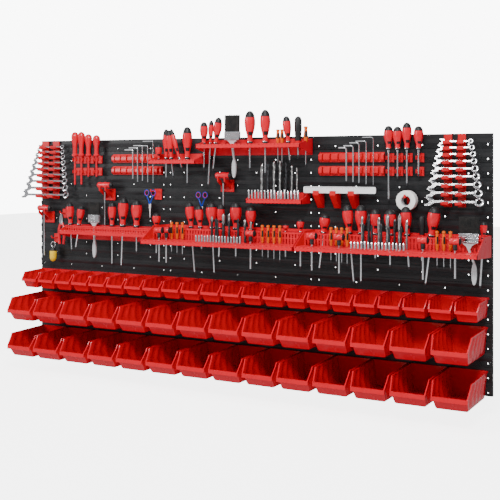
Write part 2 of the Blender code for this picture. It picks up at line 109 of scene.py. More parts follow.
def noise(tree, scale, detail=3.0, stretch=(1, 1, 1)):
    """Noise in the piece's own space, stretched along an axis where the stretch is small."""
    where = tree.nodes.new("ShaderNodeTexCoord")
    shape = tree.nodes.new("ShaderNodeMapping")
    shape.inputs["Scale"].default_value = stretch
    made = tree.nodes.new("ShaderNodeTexNoise")
    made.inputs["Scale"].default_value = scale
    made.inputs["Detail"].default_value = detail
    tree.links.new(where.outputs["Object"], shape.inputs["Vector"])
    tree.links.new(shape.outputs["Vector"], made.inputs["Vector"])
    return made.outputs["Fac"]


def remap(tree, value, low, high, new_low=0.0, new_high=1.0):
    made = tree.nodes.new("ShaderNodeMapRange")
    made.inputs["From Min"].default_value = low
    made.inputs["From Max"].default_value = high
    made.inputs["To Min"].default_value = new_low
    made.inputs["To Max"].default_value = new_high
    tree.links.new(value, made.inputs["Value"])
    return made.outputs["Result"]


def combine(tree, operation, one, two):
    """A Math node on two sockets, or on a socket and a number."""
    made = tree.nodes.new("ShaderNodeMath")
    made.operation = operation
    for i, value in enumerate((one, two)):
        if isinstance(value, (int, float)):
            made.inputs[i].default_value = value
        else:
            tree.links.new(value, made.inputs[i])
    return made.outputs[0]


def blend_colours(tree, share, one, two):
    made = tree.nodes.new("ShaderNodeMix")
    made.data_type = "RGBA"
    tree.links.new(share, made.inputs["Factor"])
    tree.links.new(one, made.inputs["A"])
    tree.links.new(two, made.inputs["B"])
    return made.outputs["Result"]


print("node helpers ready")

# %% [markdown]
# ## Four groups from two recipes
# Moulded skin and polished steel differ only in their numbers: blotches in the colour, a fine relief, and
# a roughness that drifts. Worn edges and dust are one idea too: a second colour laid in patches, on sharp
# edges for the one and on what faces up for the other.

# %% The four groups
COLOUR = "NodeSocketColor"
NUMBER = "NodeSocketFloat"
WHITE = (1, 1, 1, 1)
BLACK = (0, 0, 0, 1)
DUST_GREY = (0.55, 0.52, 0.5, 1)
ALONG_TOOL = (1, 1, 0.04)


def surface_group(name, roughness, blotches, share, relief, drift, drift_scale=None):
    """Blotches are (scale, low, high), relief is what noise takes, and drift is (least, most)."""
    group, given, put = start_group(
        name,
        [("Colour", COLOUR, WHITE), ("Shade", COLOUR, BLACK), ("Roughness", NUMBER, roughness)],
        [("Colour", COLOUR), ("Roughness", NUMBER), ("Height", NUMBER)],
    )
    scale, low, high = blotches
    spots = remap(group, noise(group, scale), low, high, 0.0, share)
    fine = noise(group, *relief)
    source = noise(group, drift_scale) if drift_scale else fine
    rough = combine(group, "ADD", given.outputs["Roughness"], remap(group, source, 0.3, 0.7, *drift))
    mixed = blend_colours(group, spots, given.outputs["Colour"], given.outputs["Shade"])
    for title, value in (("Colour", mixed), ("Roughness", rough), ("Height", fine)):
        group.links.new(value, put.inputs[title])
    return group


def film_group(name, film, amount, upward, low, high, patches):
    """A film where the surface faces up, or else on edges. patches are (scale, detail, low, high)."""
    group, given, put = start_group(
        name,
        [("Colour", COLOUR, WHITE), ("Film", COLOUR, film), ("Amount", NUMBER, amount)],
        [("Colour", COLOUR), ("Mask", NUMBER)],
    )
    shape = group.nodes.new("ShaderNodeNewGeometry")
    value = shape.outputs["Pointiness"]
    if upward:
        split = group.nodes.new("ShaderNodeSeparateXYZ")
        group.links.new(shape.outputs["Normal"], split.inputs[0])
        value = split.outputs["Z"]
    scale, detail, least, most = patches
    patch = remap(group, noise(group, scale, detail), least, most)
    mask = combine(group, "MULTIPLY", remap(group, value, low, high), patch)
    mask = combine(group, "MULTIPLY", mask, given.outputs["Amount"])
    mixed = blend_colours(group, mask, given.outputs["Colour"], given.outputs["Film"])
    for title, made in (("Colour", mixed), ("Mask", mask)):
        group.links.new(made, put.inputs[title])
    return group


MOULD = surface_group("moulded_skin", 0.4, (14.0, 0.35, 0.75), 0.35, (900.0, 2.0), (-0.05, 0.07), 40.0)
POLISH = surface_group("polished_lines", 0.2, (45.0, 0.4, 0.8), 0.4, (500.0, 2.0, ALONG_TOOL), (-0.04, 0.1))
WEAR = film_group("edge_wear", WHITE, 0.5, False, 0.51, 0.58, (60.0, 3.0, 0.4, 0.65))
DUST = film_group("dust_film", DUST_GREY, 0.2, True, 0.7, 1.0, (22.0, 5.0, 0.35, 0.8))
print("groups:", MOULD.name, WEAR.name, DUST.name, POLISH.name)

# %% [markdown]
# ## The materials
# A plastic goes through three groups in turn: skin, worn edges, dust. A metal uses the polishing lines
# instead. The clear gloss of the red mouldings is a coat, set once on the shader itself, because it is
# the same all over.


# %% Two kinds of material
RELIEF = 0.1 * MM
PLASTIC_SHADE = 0.72
COAT_ROUGHNESS = 0.1


def shaded(colour, share):
    return (*(c * share for c in colour), 1)


def start_material(name, skin, colour, roughness, dark):
    made = bpy.data.materials.new(name)
    made.use_nodes = True
    tree = made.node_tree
    shader = tree.nodes["Principled BSDF"]
    base = tree.nodes.new("ShaderNodeGroup")
    base.node_tree = skin
    base.inputs["Colour"].default_value = (*colour, 1)
    base.inputs["Shade"].default_value = shaded(colour, dark)
    base.inputs["Roughness"].default_value = roughness
    bump = tree.nodes.new("ShaderNodeBump")
    bump.inputs["Distance"].default_value = RELIEF
    tree.links.new(base.outputs["Height"], bump.inputs["Height"])
    tree.links.new(bump.outputs["Normal"], shader.inputs["Normal"])
    return made, tree, shader, base, bump


def plastic(name, colour, roughness, coat, worn, wear, dust, grain=0.25, sheen=0.3):
    made, tree, shader, base, bump = start_material(name, MOULD, colour, roughness, PLASTIC_SHADE)
    bump.inputs["Strength"].default_value = grain
    edge = tree.nodes.new("ShaderNodeGroup")
    edge.node_tree = WEAR
    edge.inputs["Film"].default_value = (*worn, 1)
    edge.inputs["Amount"].default_value = wear
    film = tree.nodes.new("ShaderNodeGroup")
    film.node_tree = DUST
    film.inputs["Amount"].default_value = dust
    tree.links.new(base.outputs["Colour"], edge.inputs["Colour"])
    tree.links.new(edge.outputs["Colour"], film.inputs["Colour"])
    tree.links.new(film.outputs["Colour"], shader.inputs["Base Color"])
    rough = combine(tree, "ADD", base.outputs["Roughness"], film.outputs["Mask"])
    tree.links.new(rough, shader.inputs["Roughness"])
    shader.inputs["Coat Weight"].default_value = coat
    shader.inputs["Coat Roughness"].default_value = COAT_ROUGHNESS
    shader.inputs["Specular IOR Level"].default_value = sheen
    return made


def metal(name, colour, roughness, strength=0.15, dark=0.6):
    made, tree, shader, base, bump = start_material(name, POLISH, colour, roughness, dark)
    bump.inputs["Strength"].default_value = strength
    tree.links.new(base.outputs["Colour"], shader.inputs["Base Color"])
    tree.links.new(base.outputs["Roughness"], shader.inputs["Roughness"])
    shader.inputs["Metallic"].default_value = 1.0
    return made


PALE = (0.5, 0.5, 0.5)
RUBBED_RED = (0.6, 0.03, 0.035)
RUBBED_CHARCOAL = (0.07, 0.07, 0.075)
RUBBED_GRIP = (0.06, 0.06, 0.06)
RUBBED_ORANGE = (0.8, 0.3, 0.1)
RUBBED_BLUE = (0.1, 0.2, 0.5)
RUBBED_YELLOW = (0.8, 0.7, 0.2)
HAIR_TIP = (0.05, 0.04, 0.035)
# A plastic's numbers: colour, roughness, coat, rubbed colour, wear, dust, and at times grain and sheen.
PLASTICS = {
    "charcoal": ("panel_charcoal", (0.015, 0.0152, 0.0165), 0.36, 0.0, RUBBED_CHARCOAL, 0.35, 0.02, 0.5),
    "bin": ("bin_red", (0.62, 0.0, 0.012), 0.22, 0.06, RUBBED_RED, 0.08, 0.004, 0.1, 0.2),
    "shelf": ("shelf_red", (0.66, 0.0, 0.014), 0.32, 0.03, RUBBED_RED, 0.25, 0.012),
    "holder": ("holder_red", (0.58, 0.0, 0.008), 0.34, 0.06, RUBBED_RED, 0.25, 0.01),
    "red": ("handle_red", (0.66, 0.001, 0.016), 0.3, 0.2, RUBBED_RED, 0.15, 0.01),
    "black": ("grip_black", (0.009, 0.009, 0.01), 0.45, 0.0, RUBBED_GRIP, 0.3, 0.03, 0.6),
    "orange": ("handle_orange", (0.72, 0.11, 0.002), 0.28, 0.15, RUBBED_ORANGE, 0.15, 0.01),
    "blue": ("loop_blue", (0.004, 0.035, 0.42), 0.3, 0.15, RUBBED_BLUE, 0.15, 0.01),
    "yellow": ("knife_yellow", (0.8, 0.52, 0.002), 0.3, 0.15, RUBBED_YELLOW, 0.15, 0.02),
    "white": ("tape_white", (0.88, 0.87, 0.85), 0.5, 0.0, PALE, 0.1, 0.04),
    "grey": ("handle_grey", (0.5, 0.51, 0.52), 0.35, 0.1, PALE, 0.2, 0.04),
    "bristle": ("brush_bristle", (0.006, 0.006, 0.006), 0.6, 0.0, HAIR_TIP, 0.25, 0.02, 0.6),
}
# A metal's: colour, roughness, and at times the strength of its lines and the shade of its smears.
METALS = {
    "chrome": ("tool_chrome", (0.8, 0.8, 0.82), 0.14),
    "steel": ("drill_steel", (0.5, 0.49, 0.48), 0.26, 0.3),
    "dark": ("blackened_tip", (0.07, 0.07, 0.075), 0.36, 0.3),
    "alloy": ("ruler_alloy", (0.92, 0.92, 0.93), 0.35, 0.35, 0.85),
}
FINISH = {key: plastic(*row) for key, row in PLASTICS.items()}
FINISH.update({key: metal(*row) for key, row in METALS.items()})
SATIN = 0.15
FINISH["alloy"].node_tree.nodes["Principled BSDF"].inputs["Metallic"].default_value = SATIN
FINISH_NAMES = list(FINISH)
print("materials:", len(FINISH))

# %% [markdown]
# ## Shaping helpers
# Almost everything on this wall is a turned bar, a bent rod, a cut plate or a box, so four small builders
# cover it. They add to one mesh, and each face remembers its finish, so one tool can be one object with
# a red grip and a chrome shaft, as it is one object in the hand.


# %% Mesh builders
# A patch or an inset is black only on this share of the turn, which faces out from the wall.
PATCHES = {"patch": "red", "inset": "orange"}
PATCH_FROM = 0.72
PATCH_TO = 0.92
POINT = 0.02 * MM
STEEP = 0.7
CREASE = math.radians(35)
EASED_FROM = math.radians(40)


def turns(count, start=0, end=360):
    """Angles that share out a turn, or a part of one, in count steps."""
    return [math.radians(start + (end - start) * i / count) for i in range(count)]


def skin(bm, rings, finish, capped=True):
    """Quads from ring to ring. finish is one name, or a name for each gap between rings."""
    count = len(rings[0])
    for n, (one, two) in enumerate(zip(rings, rings[1:])):
        name = finish if isinstance(finish, str) else finish[n]
        for i in range(count):
            j = (i + 1) % count
            face = bm.faces.new((one[i], one[j], two[j], two[i]))
            shown = name
            if name in PATCHES:
                shown = "black" if PATCH_FROM <= i / count <= PATCH_TO else PATCHES[name]
            face.material_index = FINISH_NAMES.index(shown)
    if capped:
        first = finish if isinstance(finish, str) else finish[0]
        last = finish if isinstance(finish, str) else finish[-1]
        for ring, name in ((rings[0], first), (rings[-1], last)):
            bm.faces.new(ring).material_index = FINISH_NAMES.index(name)


def turned(bm, rows, start, along, sides=20, lobes=0):
    """A turned bar. rows are (distance, radius, finish, lobe depth), and start and along give its axis."""
    along = Vector(along).normalized()
    side = along.orthogonal().normalized()
    if abs(along.z) > STEEP:
        side = (Vector((1, 0, 0)) - along * along.x).normalized()
    other = along.cross(side)
    rings = []
    for distance, radius, _, depth in rows:
        centre = Vector(start) + along * distance
        ring = []
        for angle in turns(sides):
            reach = max(radius, POINT) * (1 - depth * (0.5 + 0.5 * math.cos(lobes * angle)))
            offset = side * reach * math.cos(angle) + other * reach * math.sin(angle)
            ring.append(bm.verts.new(centre + offset))
        rings.append(ring)
    skin(bm, rings, [row[2] for row in rows[1:]])


def rod(bm, points, radius, finish, sides=8):
    """A rod through the points. radius is one number, or one for each point."""
    points = [Vector(p) for p in points]
    rings = []
    side = None
    for i, point in enumerate(points):
        ahead = (points[min(i + 1, len(points) - 1)] - points[max(i - 1, 0)]).normalized()
        if side is None:
            side = ahead.orthogonal().normalized()
        side = (side - ahead * side.dot(ahead)).normalized()
        other = ahead.cross(side)
        wide = radius[i] if isinstance(radius, (list, tuple)) else radius
        spokes = [side * math.cos(a) + other * math.sin(a) for a in turns(sides)]
        rings.append([bm.verts.new(point + spoke * wide) for spoke in spokes])
    skin(bm, rings, finish)


def rounded(points, radius, steps=4):
    """The same path with each inner corner eased to a curve."""
    points = [Vector(p) for p in points]
    out = [points[0]]
    for before, corner, after in zip(points, points[1:], points[2:]):
        start = corner + (before - corner).normalized() * radius
        end = corner + (after - corner).normalized() * radius
        for i in range(steps + 1):
            t = i / steps
            out.append(start * (1 - t) ** 2 + corner * 2 * t * (1 - t) + end * t * t)
    return out + [points[-1]]


def plate(bm, outline, axis, low, high, finish):
    """An outline of (u, v) pulled along an axis: "x" reads (y, z), "y" reads (x, z), "z" reads (x, y)."""
    rings = []
    for end in (low, high):
        if axis == "x":
            corners = [(end, u, v) for u, v in outline]
        elif axis == "y":
            corners = [(u, end, v) for u, v in outline]
        else:
            corners = [(u, v, end) for u, v in outline]
        rings.append([bm.verts.new(c) for c in corners])
    skin(bm, rings, finish)


def rectangle(u0, u1, v0, v1):
    return [(u0, v0), (u1, v0), (u1, v1), (u0, v1)]


def block(bm, low, high, finish):
    plate(bm, rectangle(low[0], high[0], low[2], high[2]), "y", low[1], high[1], finish)


def loop(centre, radius, steps=20, squash=1.0):
    """Points round a closed ring in the plane of the wall. The last is the first again."""
    x, y, z = centre
    around = turns(steps) + [math.radians(360)]
    return [Vector((x + radius * math.cos(a), y, z + squash * radius * math.sin(a))) for a in around]


def all_of(bm, finish):
    for face in bm.faces:
        face.material_index = FINISH_NAMES.index(finish)


def to_mesh(name, bm):
    """A mesh that holds only the finishes it uses."""
    bmesh.ops.recalc_face_normals(bm, faces=bm.faces)
    used = sorted({face.material_index for face in bm.faces})
    for face in bm.faces:
        face.material_index = used.index(face.material_index)
    mesh = bpy.data.meshes.new(name)
    bm.to_mesh(mesh)
    bm.free()
    for i in used:
        mesh.materials.append(FINISH[FINISH_NAMES[i]])
    mesh.shade_smooth()
    mesh.set_sharp_from_angle(angle=CREASE)
    return mesh


def stand(name, data):
    """A new object in the scene, from a mesh or a light."""
    made = bpy.data.objects.new(name, data)
    bpy.context.scene.collection.objects.link(made)
    return made


def baked(thing):
    """The thing's shape with its modifiers applied. The thing itself goes."""
    bpy.context.view_layer.update()
    flat = bpy.data.meshes.new_from_object(thing.evaluated_get(bpy.context.evaluated_depsgraph_get()))
    bpy.data.objects.remove(thing)
    whole = bmesh.new()
    whole.from_mesh(flat)
    return whole


def piece(name, shape, body, bevel=0.0, place=(0, 0, 0)):
    """An object from a bmesh, or from a mesh that others share, riding on a body."""
    made = stand(name, shape if isinstance(shape, bpy.types.Mesh) else to_mesh(name, shape))
    made.location = place
    if bevel:
        edge = made.modifiers.new("eased_edges", "BEVEL")
        edge.width = bevel
        edge.segments = 2
        edge.limit_method = "ANGLE"
        edge.angle_limit = EASED_FROM
    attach(made, body)
    return made


print("builders ready")

# %% [markdown]
# ## Slatted panels
# Each panel is a moulded sheet of nine slats. Under each slat is an undercut slot that bins and hooks drop
# into, and its face is ribbed finely so that scratches don't show. The section is drawn once and pulled
# sideways, as the real one would be planned, and rows of screw holes are cut right through. All six
# panels share the mesh.

# %% Panel section and holes
PANEL_W = 576 * MM
PANEL_H = 390 * MM
SLATS = 9
SLAT = PANEL_H / SLATS
GAP = 0.3 * MM
FACE = -12 * MM
BACK = -7.5 * MM
BAND = -11 * MM
SLOT_FLOOR = -9.5 * MM
LIP_BACK = -13.4 * MM
LIP_OUT = -15.4 * MM
LIP_DOWN = 13 * MM
LIP_FOOT = 21 * MM
HUNG = LIP_OUT - 0.6 * MM
RIDGE = 0.8 * MM
RIDGES = 7
FIRST_RIDGE = 27.6
RIDGE_PITCH = 2.2
HOLE_R = 2.6 * MM
HOLE_DOWN = 33 * MM
HOLE_STEP = 144
RIBS = 7
RIB_T = 2 * MM
RIB_FRONT = -8 * MM


def slat_section(top):
    """The front of a slat as (y, z), with ridges on its sloping skirt."""
    out = [(FACE, top), (SLOT_FLOOR, top), (SLOT_FLOOR, top - 2.5 * MM), (BAND, top - 2.5 * MM)]
    out += [(BAND, top - LIP_FOOT), (LIP_BACK, top - LIP_FOOT), (LIP_BACK, top - LIP_DOWN)]
    out += [(LIP_OUT, top - LIP_DOWN), (LIP_OUT, top - LIP_FOOT), (FACE, top - 26 * MM)]
    for i in range(RIDGES):
        z = top - (FIRST_RIDGE + RIDGE_PITCH * i) * MM
        out += [(FACE, z), (FACE - RIDGE, z - 0.4 * MM), (FACE - RIDGE, z - 1.0 * MM), (FACE, z - 1.4 * MM)]
    return out


def panel_mesh():
    bm = bmesh.new()
    half = PANEL_W / 2 - GAP / 2
    top = PANEL_H - GAP / 2
    outline = []
    for i in range(SLATS):
        outline += slat_section(PANEL_H - i * SLAT)
    outline[0] = (FACE, top)
    outline[1] = (SLOT_FLOOR, top)
    outline += [(FACE, GAP / 2), (BACK, GAP / 2), (BACK, top)]
    plate(bm, outline, "x", -half, half, "charcoal")
    blank = stand("panel_blank", to_mesh("panel_blank", bm))
    cut = bmesh.new()
    inner = [(HOLE_STEP * k - 1.5 * HOLE_STEP) * MM for k in range(4)]
    for i in range(SLATS):
        z = PANEL_H - i * SLAT - HOLE_DOWN
        shift = HOLE_STEP / 2 * MM if i % 2 else 0
        places = [-half + 14 * MM, half - 14 * MM]
        places += [x + shift for x in inner if abs(x + shift) < 250 * MM]
        for x in places:
            rows = [(0, HOLE_R, "charcoal", 0), (12 * MM, HOLE_R, "charcoal", 0)]
            turned(cut, rows, (x, -16 * MM, z), (0, 1, 0), 10)
    cutter = stand("panel_holes", to_mesh("panel_holes", cut))
    step = blank.modifiers.new("holes", "BOOLEAN")
    step.operation = "DIFFERENCE"
    step.solver = "EXACT"
    step.object = cutter
    whole = baked(blank)
    bpy.data.objects.remove(cutter)
    for i in range(RIBS):
        x = -half + i * (2 * half - RIB_T) / (RIBS - 1)
        block(whole, (x, RIB_FRONT, GAP / 2), (x + RIB_T, 0, top), "charcoal")
    for z in (GAP / 2, top - RIB_T):
        block(whole, (-half, RIB_FRONT, z), (half, 0, z + RIB_T), "charcoal")
    all_of(whole, "charcoal")
    return to_mesh("panel", whole)


panel = panel_mesh()
for column, side in enumerate(("left", "middle", "right")):
    for level, foot in (("lower", -PANEL_H), ("upper", 0)):
        x = (column - 1) * PANEL_W
        made = piece(f"slat_panel_{level}_{side}", panel, "root", place=(x, 0, foot))
        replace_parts(made, f"panel_{level}_{side}")
bm = bmesh.new()
lug = [(0, 5 * MM, "charcoal", 0), (4 * MM, 5.4 * MM, "charcoal", 0), (5 * MM, 4.6 * MM, "charcoal", 0)]
for i in range(2 * SLATS):
    z = -PANEL_H + (i + 0.42) * SLAT
    turned(bm, lug, (-1.5 * PANEL_W + 1.5 * MM, -7.4 * MM, z), (0, 1, 0), 16)
piece("edge_lugs", bm, "root")
print("panel faces:", len(panel.polygons))

# %% [markdown]
# ## Bins
# A bin is a thin tub: it leans out, narrows to its floor, and its front is cut low so that a hand can
# reach in. Its section at every depth is the same rounded U, so it is lofted from U to U, and the front
# and rear walls are bridged across. The walls carry shallow upright flutes that stiffen the thin plastic.
# Solidify then gives the wall its real 2 mm, and a flange runs round the opening.


# %% Bin shape
WALL = 2 * MM
FLANGE = 1.7 * MM
FLANGE_DEEP = 4.5 * MM
CORNER = 5 * MM
SHOULDER = 4 * MM
INSET = 3 * MM
STATIONS = 44
ACROSS = 8
FLUTE_SHARE = 0.034
FLUTES_FROM = 0.08
FLUTES_TO = 0.9


def bin_mesh(name, flutes, rear, front, floor, depth, height, brow, lip, hook_half):
    """A tub in its own space: hung at y 0, with its top edge at z 0. Sizes in metres."""
    flute_out = FLUTE_SHARE * rear
    levels = [height * t for t in (1, 0.86, 0.72, 0.6)] + [lip, lip * 0.72, lip * 0.45]
    arc = [(math.sin(a), 1 - math.cos(a)) for a in (math.radians(90 - 22.5 * i) for i in range(5))]

    def front_edge(z):
        if z <= lip:
            return depth - INSET - brow * (1 - z / lip)
        return depth - INSET - brow * min(1, (z - lip) / (height - SHOULDER - lip))

    def half_width(y, z):
        back = rear + (front - rear) * y / depth
        return (back - (rear - floor) * (1 - z / height)) / 2 - FLANGE

    def swell(s, z):
        """How far a flute stands out. It fades towards the floor and towards the top edge."""
        if not FLUTES_FROM < s < FLUTES_TO:
            return 0.0
        wave = abs(math.sin(math.pi * flutes * (s - FLUTES_FROM) / (FLUTES_TO - FLUTES_FROM))) * flute_out
        return wave * min(1, max(0, (z / height - 0.06) / 0.16)) * min(1, max(0, (height - z) / (6 * MM)))

    def point(sign, s, z, pull=0.0):
        y = s * front_edge(min(z, height - SHOULDER))
        low = z - SHOULDER * s * max(0.0, (z - lip) / (height - lip))
        x = half_width(y, z) - pull + swell(s, z) - 0.4 * flute_out
        return Vector((sign * x, -y, low - height))

    bm = bmesh.new()
    grid = []
    for n in range(STATIONS + 1):
        s = n / STATIONS
        walls = []
        for sign in (-1, 1):
            wall = [point(sign, s, z) for z in levels]
            walls.append(wall + [point(sign, s, CORNER * b, CORNER * (1 - a)) for a, b in arc])
        left, right = walls
        middle = [left[-1].lerp(right[-1], k / ACROSS) for k in range(1, ACROSS)]
        grid.append([bm.verts.new(p) for p in left + middle + right[::-1]])
    size = len(grid[0])
    for one, two in zip(grid, grid[1:]):
        for i in range(size - 1):
            bm.faces.new((one[i], one[i + 1], two[i + 1], two[i]))
    rows = len(levels) + len(arc)
    for station, first in ((grid[0], 0), (grid[-1], levels.index(lip))):
        above = None
        for k in range(first, rows):
            a, b = station[k], station[size - 1 - k]
            if k == rows - 1:
                row = [station[k + n] for n in range(ACROSS + 1)]
            else:
                row = [a] + [bm.verts.new(a.co.lerp(b.co, n / ACROSS)) for n in range(1, ACROSS)] + [b]
            if above:
                for n in range(ACROSS):
                    bm.faces.new((above[n], above[n + 1], row[n + 1], row[n]))
            above = row
    all_of(bm, "bin")
    tub = stand(name + "_tub", to_mesh(name + "_tub", bm))
    wall = tub.modifiers.new("wall", "SOLIDIFY")
    wall.thickness = WALL
    wall.offset = -1
    whole = baked(tub)
    all_of(whole, "bin")
    for sign in (-1, 1):
        top = [point(sign, s, height) for s in (0.0, 0.5, 1.0)]
        steep = [point(sign, 1, z) for z in levels[1:5]]
        inward = Vector((-sign * 1.6 * MM, 0, 0))
        out = Vector((sign * (FLANGE + 0.3 * MM), 0, 0))
        rings = []
        for n, spot in enumerate(top + steep):
            spot = spot - Vector((0, INSET if n > 1 else 0, 0))
            down = Vector((0, FLANGE_DEEP, -FLANGE_DEEP)) * 0.7
            if n < 2:
                down = Vector((0, 0, -FLANGE_DEEP))
            elif n > 2:
                down = Vector((0, FLANGE_DEEP + INSET, 0))
            corners = (spot + inward, spot + out, spot + out + down, spot + inward + down)
            rings.append([whole.verts.new(p) for p in corners])
        skin(whole, rings, "bin")
    half = half_width(depth, lip) + 0.5 * MM
    foot = lip - height
    front_low = (-half, -depth - 0.2 * MM, foot - 0.14 * height)
    block(whole, front_low, (half, INSET + 1.2 * MM - depth, foot + 0.6 * MM), "bin")
    block(whole, (-hook_half, -1 * MM, -2 * MM), (hook_half, 4.6 * MM, 0), "bin")
    block(whole, (-hook_half, 3 * MM, -8.8 * MM), (hook_half, 4.6 * MM, -0.5 * MM), "bin")
    return to_mesh(name, whole)


# Widths at the rear, the front and the floor, then depth, height, brow, lip and half of the hook.
MEDIUM = (120, 118, 102, 202, 84, 27, 39, 48)
SMALL = (76, 75, 64, 120, 60, 17, 32, 36)
medium = bin_mesh("medium_bin", 4, *(size * MM for size in MEDIUM))
small = bin_mesh("small_bin", 3, *(size * MM for size in SMALL))
print("bin faces:", len(medium.polygons), len(small.polygons))

# %% [markdown]
# ## Hanging the bins
# Bins of one size share one mesh, so a change to the tub changes them all. Each medium bin rides on its
# own body. The small ones ride on one body together, because the frame joins them.

# %% Hang the bins
MEDIUM_COUNT = 14
SMALL_COUNT = 22
SMALL_PITCH = 77.9 * MM
for level in ("upper", "lower"):
    for i in range(MEDIUM_COUNT):
        label = f"{level}_{i + 1:02d}"
        low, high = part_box(f"medium_bin_{label}")
        place = ((low.x + high.x) / 2, HUNG, high.z)
        made = piece(f"tub_{label}", medium, f"medium_bin_{label}", 0.5 * MM, place)
        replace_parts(made, f"medium_bin_{label}")
low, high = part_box("small_bin_row")
first = (low.x + high.x) / 2 - (SMALL_COUNT - 1) * SMALL_PITCH / 2
for i in range(SMALL_COUNT):
    place = (first + i * SMALL_PITCH, HUNG, high.z)
    made = piece(f"small_tub_{i + 1:02d}", small, "small_bin_row", 0.4 * MM, place)
    if i == 0:
        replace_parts(made, "small_bin_row")
print("bins hung:", 2 * MEDIUM_COUNT + SMALL_COUNT)

# %% [markdown]
# ## Tool shelves
# A shelf is a perforated deck, so that a shaft can drop through anywhere and dust falls out. A grid of
# square cells with the middle of each left open gives that. It is drawn twice, as a top and an underside,
# with walls between them at every hole and edge. Three shelves also have a raised rail at the back.

# %% Shelf builder
SHELF_T = 2.6 * MM
CELL = 14 * MM
STRIP = 0.22
COMB = 11 * MM
APRON = 14 * MM
# Heights of the deck and of the rail, and the rail's depth. A shelf with no rail has zeros.
SHELVES = {
    "shelf_low_left": (59, 75, 62),
    "shelf_low_middle": (43, 80, 84),
    "shelf_low_right": (43, 80, 84),
    "shelf_high": (366, 0, 0),
    "shelf_high_left": (315, 0, 0),
    "shelf_drill": (185, 0, 0),
}
# For each neighbour of a square: the step to it, and the two corners of the edge they share.
SIDES = ((-1, 0, (0, 0), (0, 1)), (1, 0, (1, 0), (1, 1)), (0, -1, (0, 0), (1, 0)), (0, 1, (0, 1), (1, 1)))


def lattice(bm, x0, x1, y0, y1, top):
    """A perforated plate: each cell is a frame of four strips round an open square."""
    lines = []
    for a, b in ((x0, x1), (y0, y1)):
        count = max(2, round((b - a) / CELL))
        steps = [i + t for i in range(count) for t in (0, STRIP, 1 - STRIP)]
        lines.append([a + (b - a) * step / count for step in steps] + [b])
    xs, ys = lines
    index = FINISH_NAMES.index("shelf")
    low, high = ([[bm.verts.new((x, y, z)) for y in ys] for x in xs] for z in (top - SHELF_T, top))
    squares = [(i, j) for i in range(len(xs) - 1) for j in range(len(ys) - 1)]
    kept = {(i, j) for i, j in squares if not (i % 3 == 1 and j % 3 == 1)}
    for i, j in kept:
        for sheet in (low, high):
            corners = (sheet[i][j], sheet[i + 1][j], sheet[i + 1][j + 1], sheet[i][j + 1])
            bm.faces.new(corners).material_index = index
        for di, dj, a, b in SIDES:
            if (i + di, j + dj) not in kept:
                p, q = (i + a[0], j + a[1]), (i + b[0], j + b[1])
                wall = (low[p[0]][p[1]], low[q[0]][q[1]], high[q[0]][q[1]], high[p[0]][p[1]])
                bm.faces.new(wall).material_index = index


def hook(bm, x0, x1, top, finish):
    """The bar and tongue that drop over the slat lip nearest below a height."""
    lip = math.floor((top + LIP_DOWN) / SLAT) * SLAT - LIP_DOWN
    block(bm, (x0, HUNG - 1 * MM, lip + GAP), (x1, -11.4 * MM, lip + GAP + 2 * MM), finish)
    block(bm, (x0, -13 * MM, lip - 6.5 * MM), (x1, -11.4 * MM, lip + GAP + 1.5 * MM), finish)


def shelf(node, deck, rail, rail_depth):
    low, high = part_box(node)
    front, back = low.y, HUNG
    step_back = back - rail_depth
    inner = (low.x + SHELF_T, high.x - SHELF_T)
    bm = bmesh.new()
    lattice(bm, *inner, front + SHELF_T, step_back - SHELF_T, deck)
    if rail:
        lattice(bm, *inner, step_back, back - SHELF_T, rail)
        for i in range(int((high.x - low.x) / COMB)):
            x = low.x + i * COMB
            tooth = (x + 2.6 * MM, step_back - SHELF_T, deck - 1 * MM)
            block(bm, tooth, (x + 8.4 * MM, step_back, rail - 1 * MM), "shelf")
        for z in (rail, (rail + deck) / 2 + 2 * MM):
            bar = (low.x, step_back - SHELF_T - 0.3 * MM, z - 4 * MM)
            block(bm, bar, (high.x, step_back + 0.3 * MM, z), "shelf")
    teeth = round((high.x - low.x) / CELL)
    wide = (high.x - low.x) / teeth
    foot = deck - APRON
    under = []
    over = []
    for i in range(teeth):
        x = low.x + (high.x - low.x) * i / teeth
        under += [(x + wide * t, z) for t, z in ((0.1, foot), (0.5, deck - 12.5 * MM), (0.9, foot))]
        notch = ((0.25, deck), (0.34, deck - 4 * MM), (0.66, deck - 4 * MM), (0.75, deck))
        over += [(x + wide * t, z) for t, z in notch]
    outline = [(low.x, foot)] + under + [(high.x, foot), (high.x, deck)] + over[::-1] + [(low.x, deck)]
    plate(bm, outline, "y", front, front + SHELF_T, "shelf")
    block(bm, (low.x, back - SHELF_T, low.z), (high.x, back, high.z), "shelf")
    cheek_back = step_back if rail else back - 12 * MM
    cheek = [(back, low.z), (back, high.z), (cheek_back, high.z), (front + 6 * MM, deck + 1 * MM)]
    cheek += [(front, deck - 1 * MM), (front, foot)]
    for x in (low.x, high.x - SHELF_T):
        plate(bm, cheek, "x", x, x + SHELF_T, "shelf")
    for x in (low.x + 20 * MM, high.x - 44 * MM):
        hook(bm, x, x + 24 * MM, high.z, "shelf")
    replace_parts(piece(f"dressed_{node}", bm, "root", 0.35 * MM), node)


for node, heights in SHELVES.items():
    shelf(node, *(size * MM for size in heights))
print("shelves:", len(SHELVES))

# %% [markdown]
# ## Key rails and wrench racks
# A key rail is a bar of soft-cornered pads with notches between them that grip hex keys. A rack is a
# strip of upturned fingers, longer towards the bottom because the wrenches get bigger.

# %% Rails and racks
RACK_ROWS = 9
RACK_TOP = 371 * MM
ARM_DOWN = 9 * MM
PADS = 9
PLATE_T = 3 * MM
# A finger's upturned end, as steps back from its tip and up from its top.
FINGERTIP = [(6, 0), (3.4, 3), (1.5, 8), (0, 7), (0, 1), (2.5, -3)]


def rack_row(i):
    """The height of a row. The rows stand further apart towards the bottom."""
    return RACK_TOP - (19 * i + 1.15 * i * (i - 1) / 2) * MM


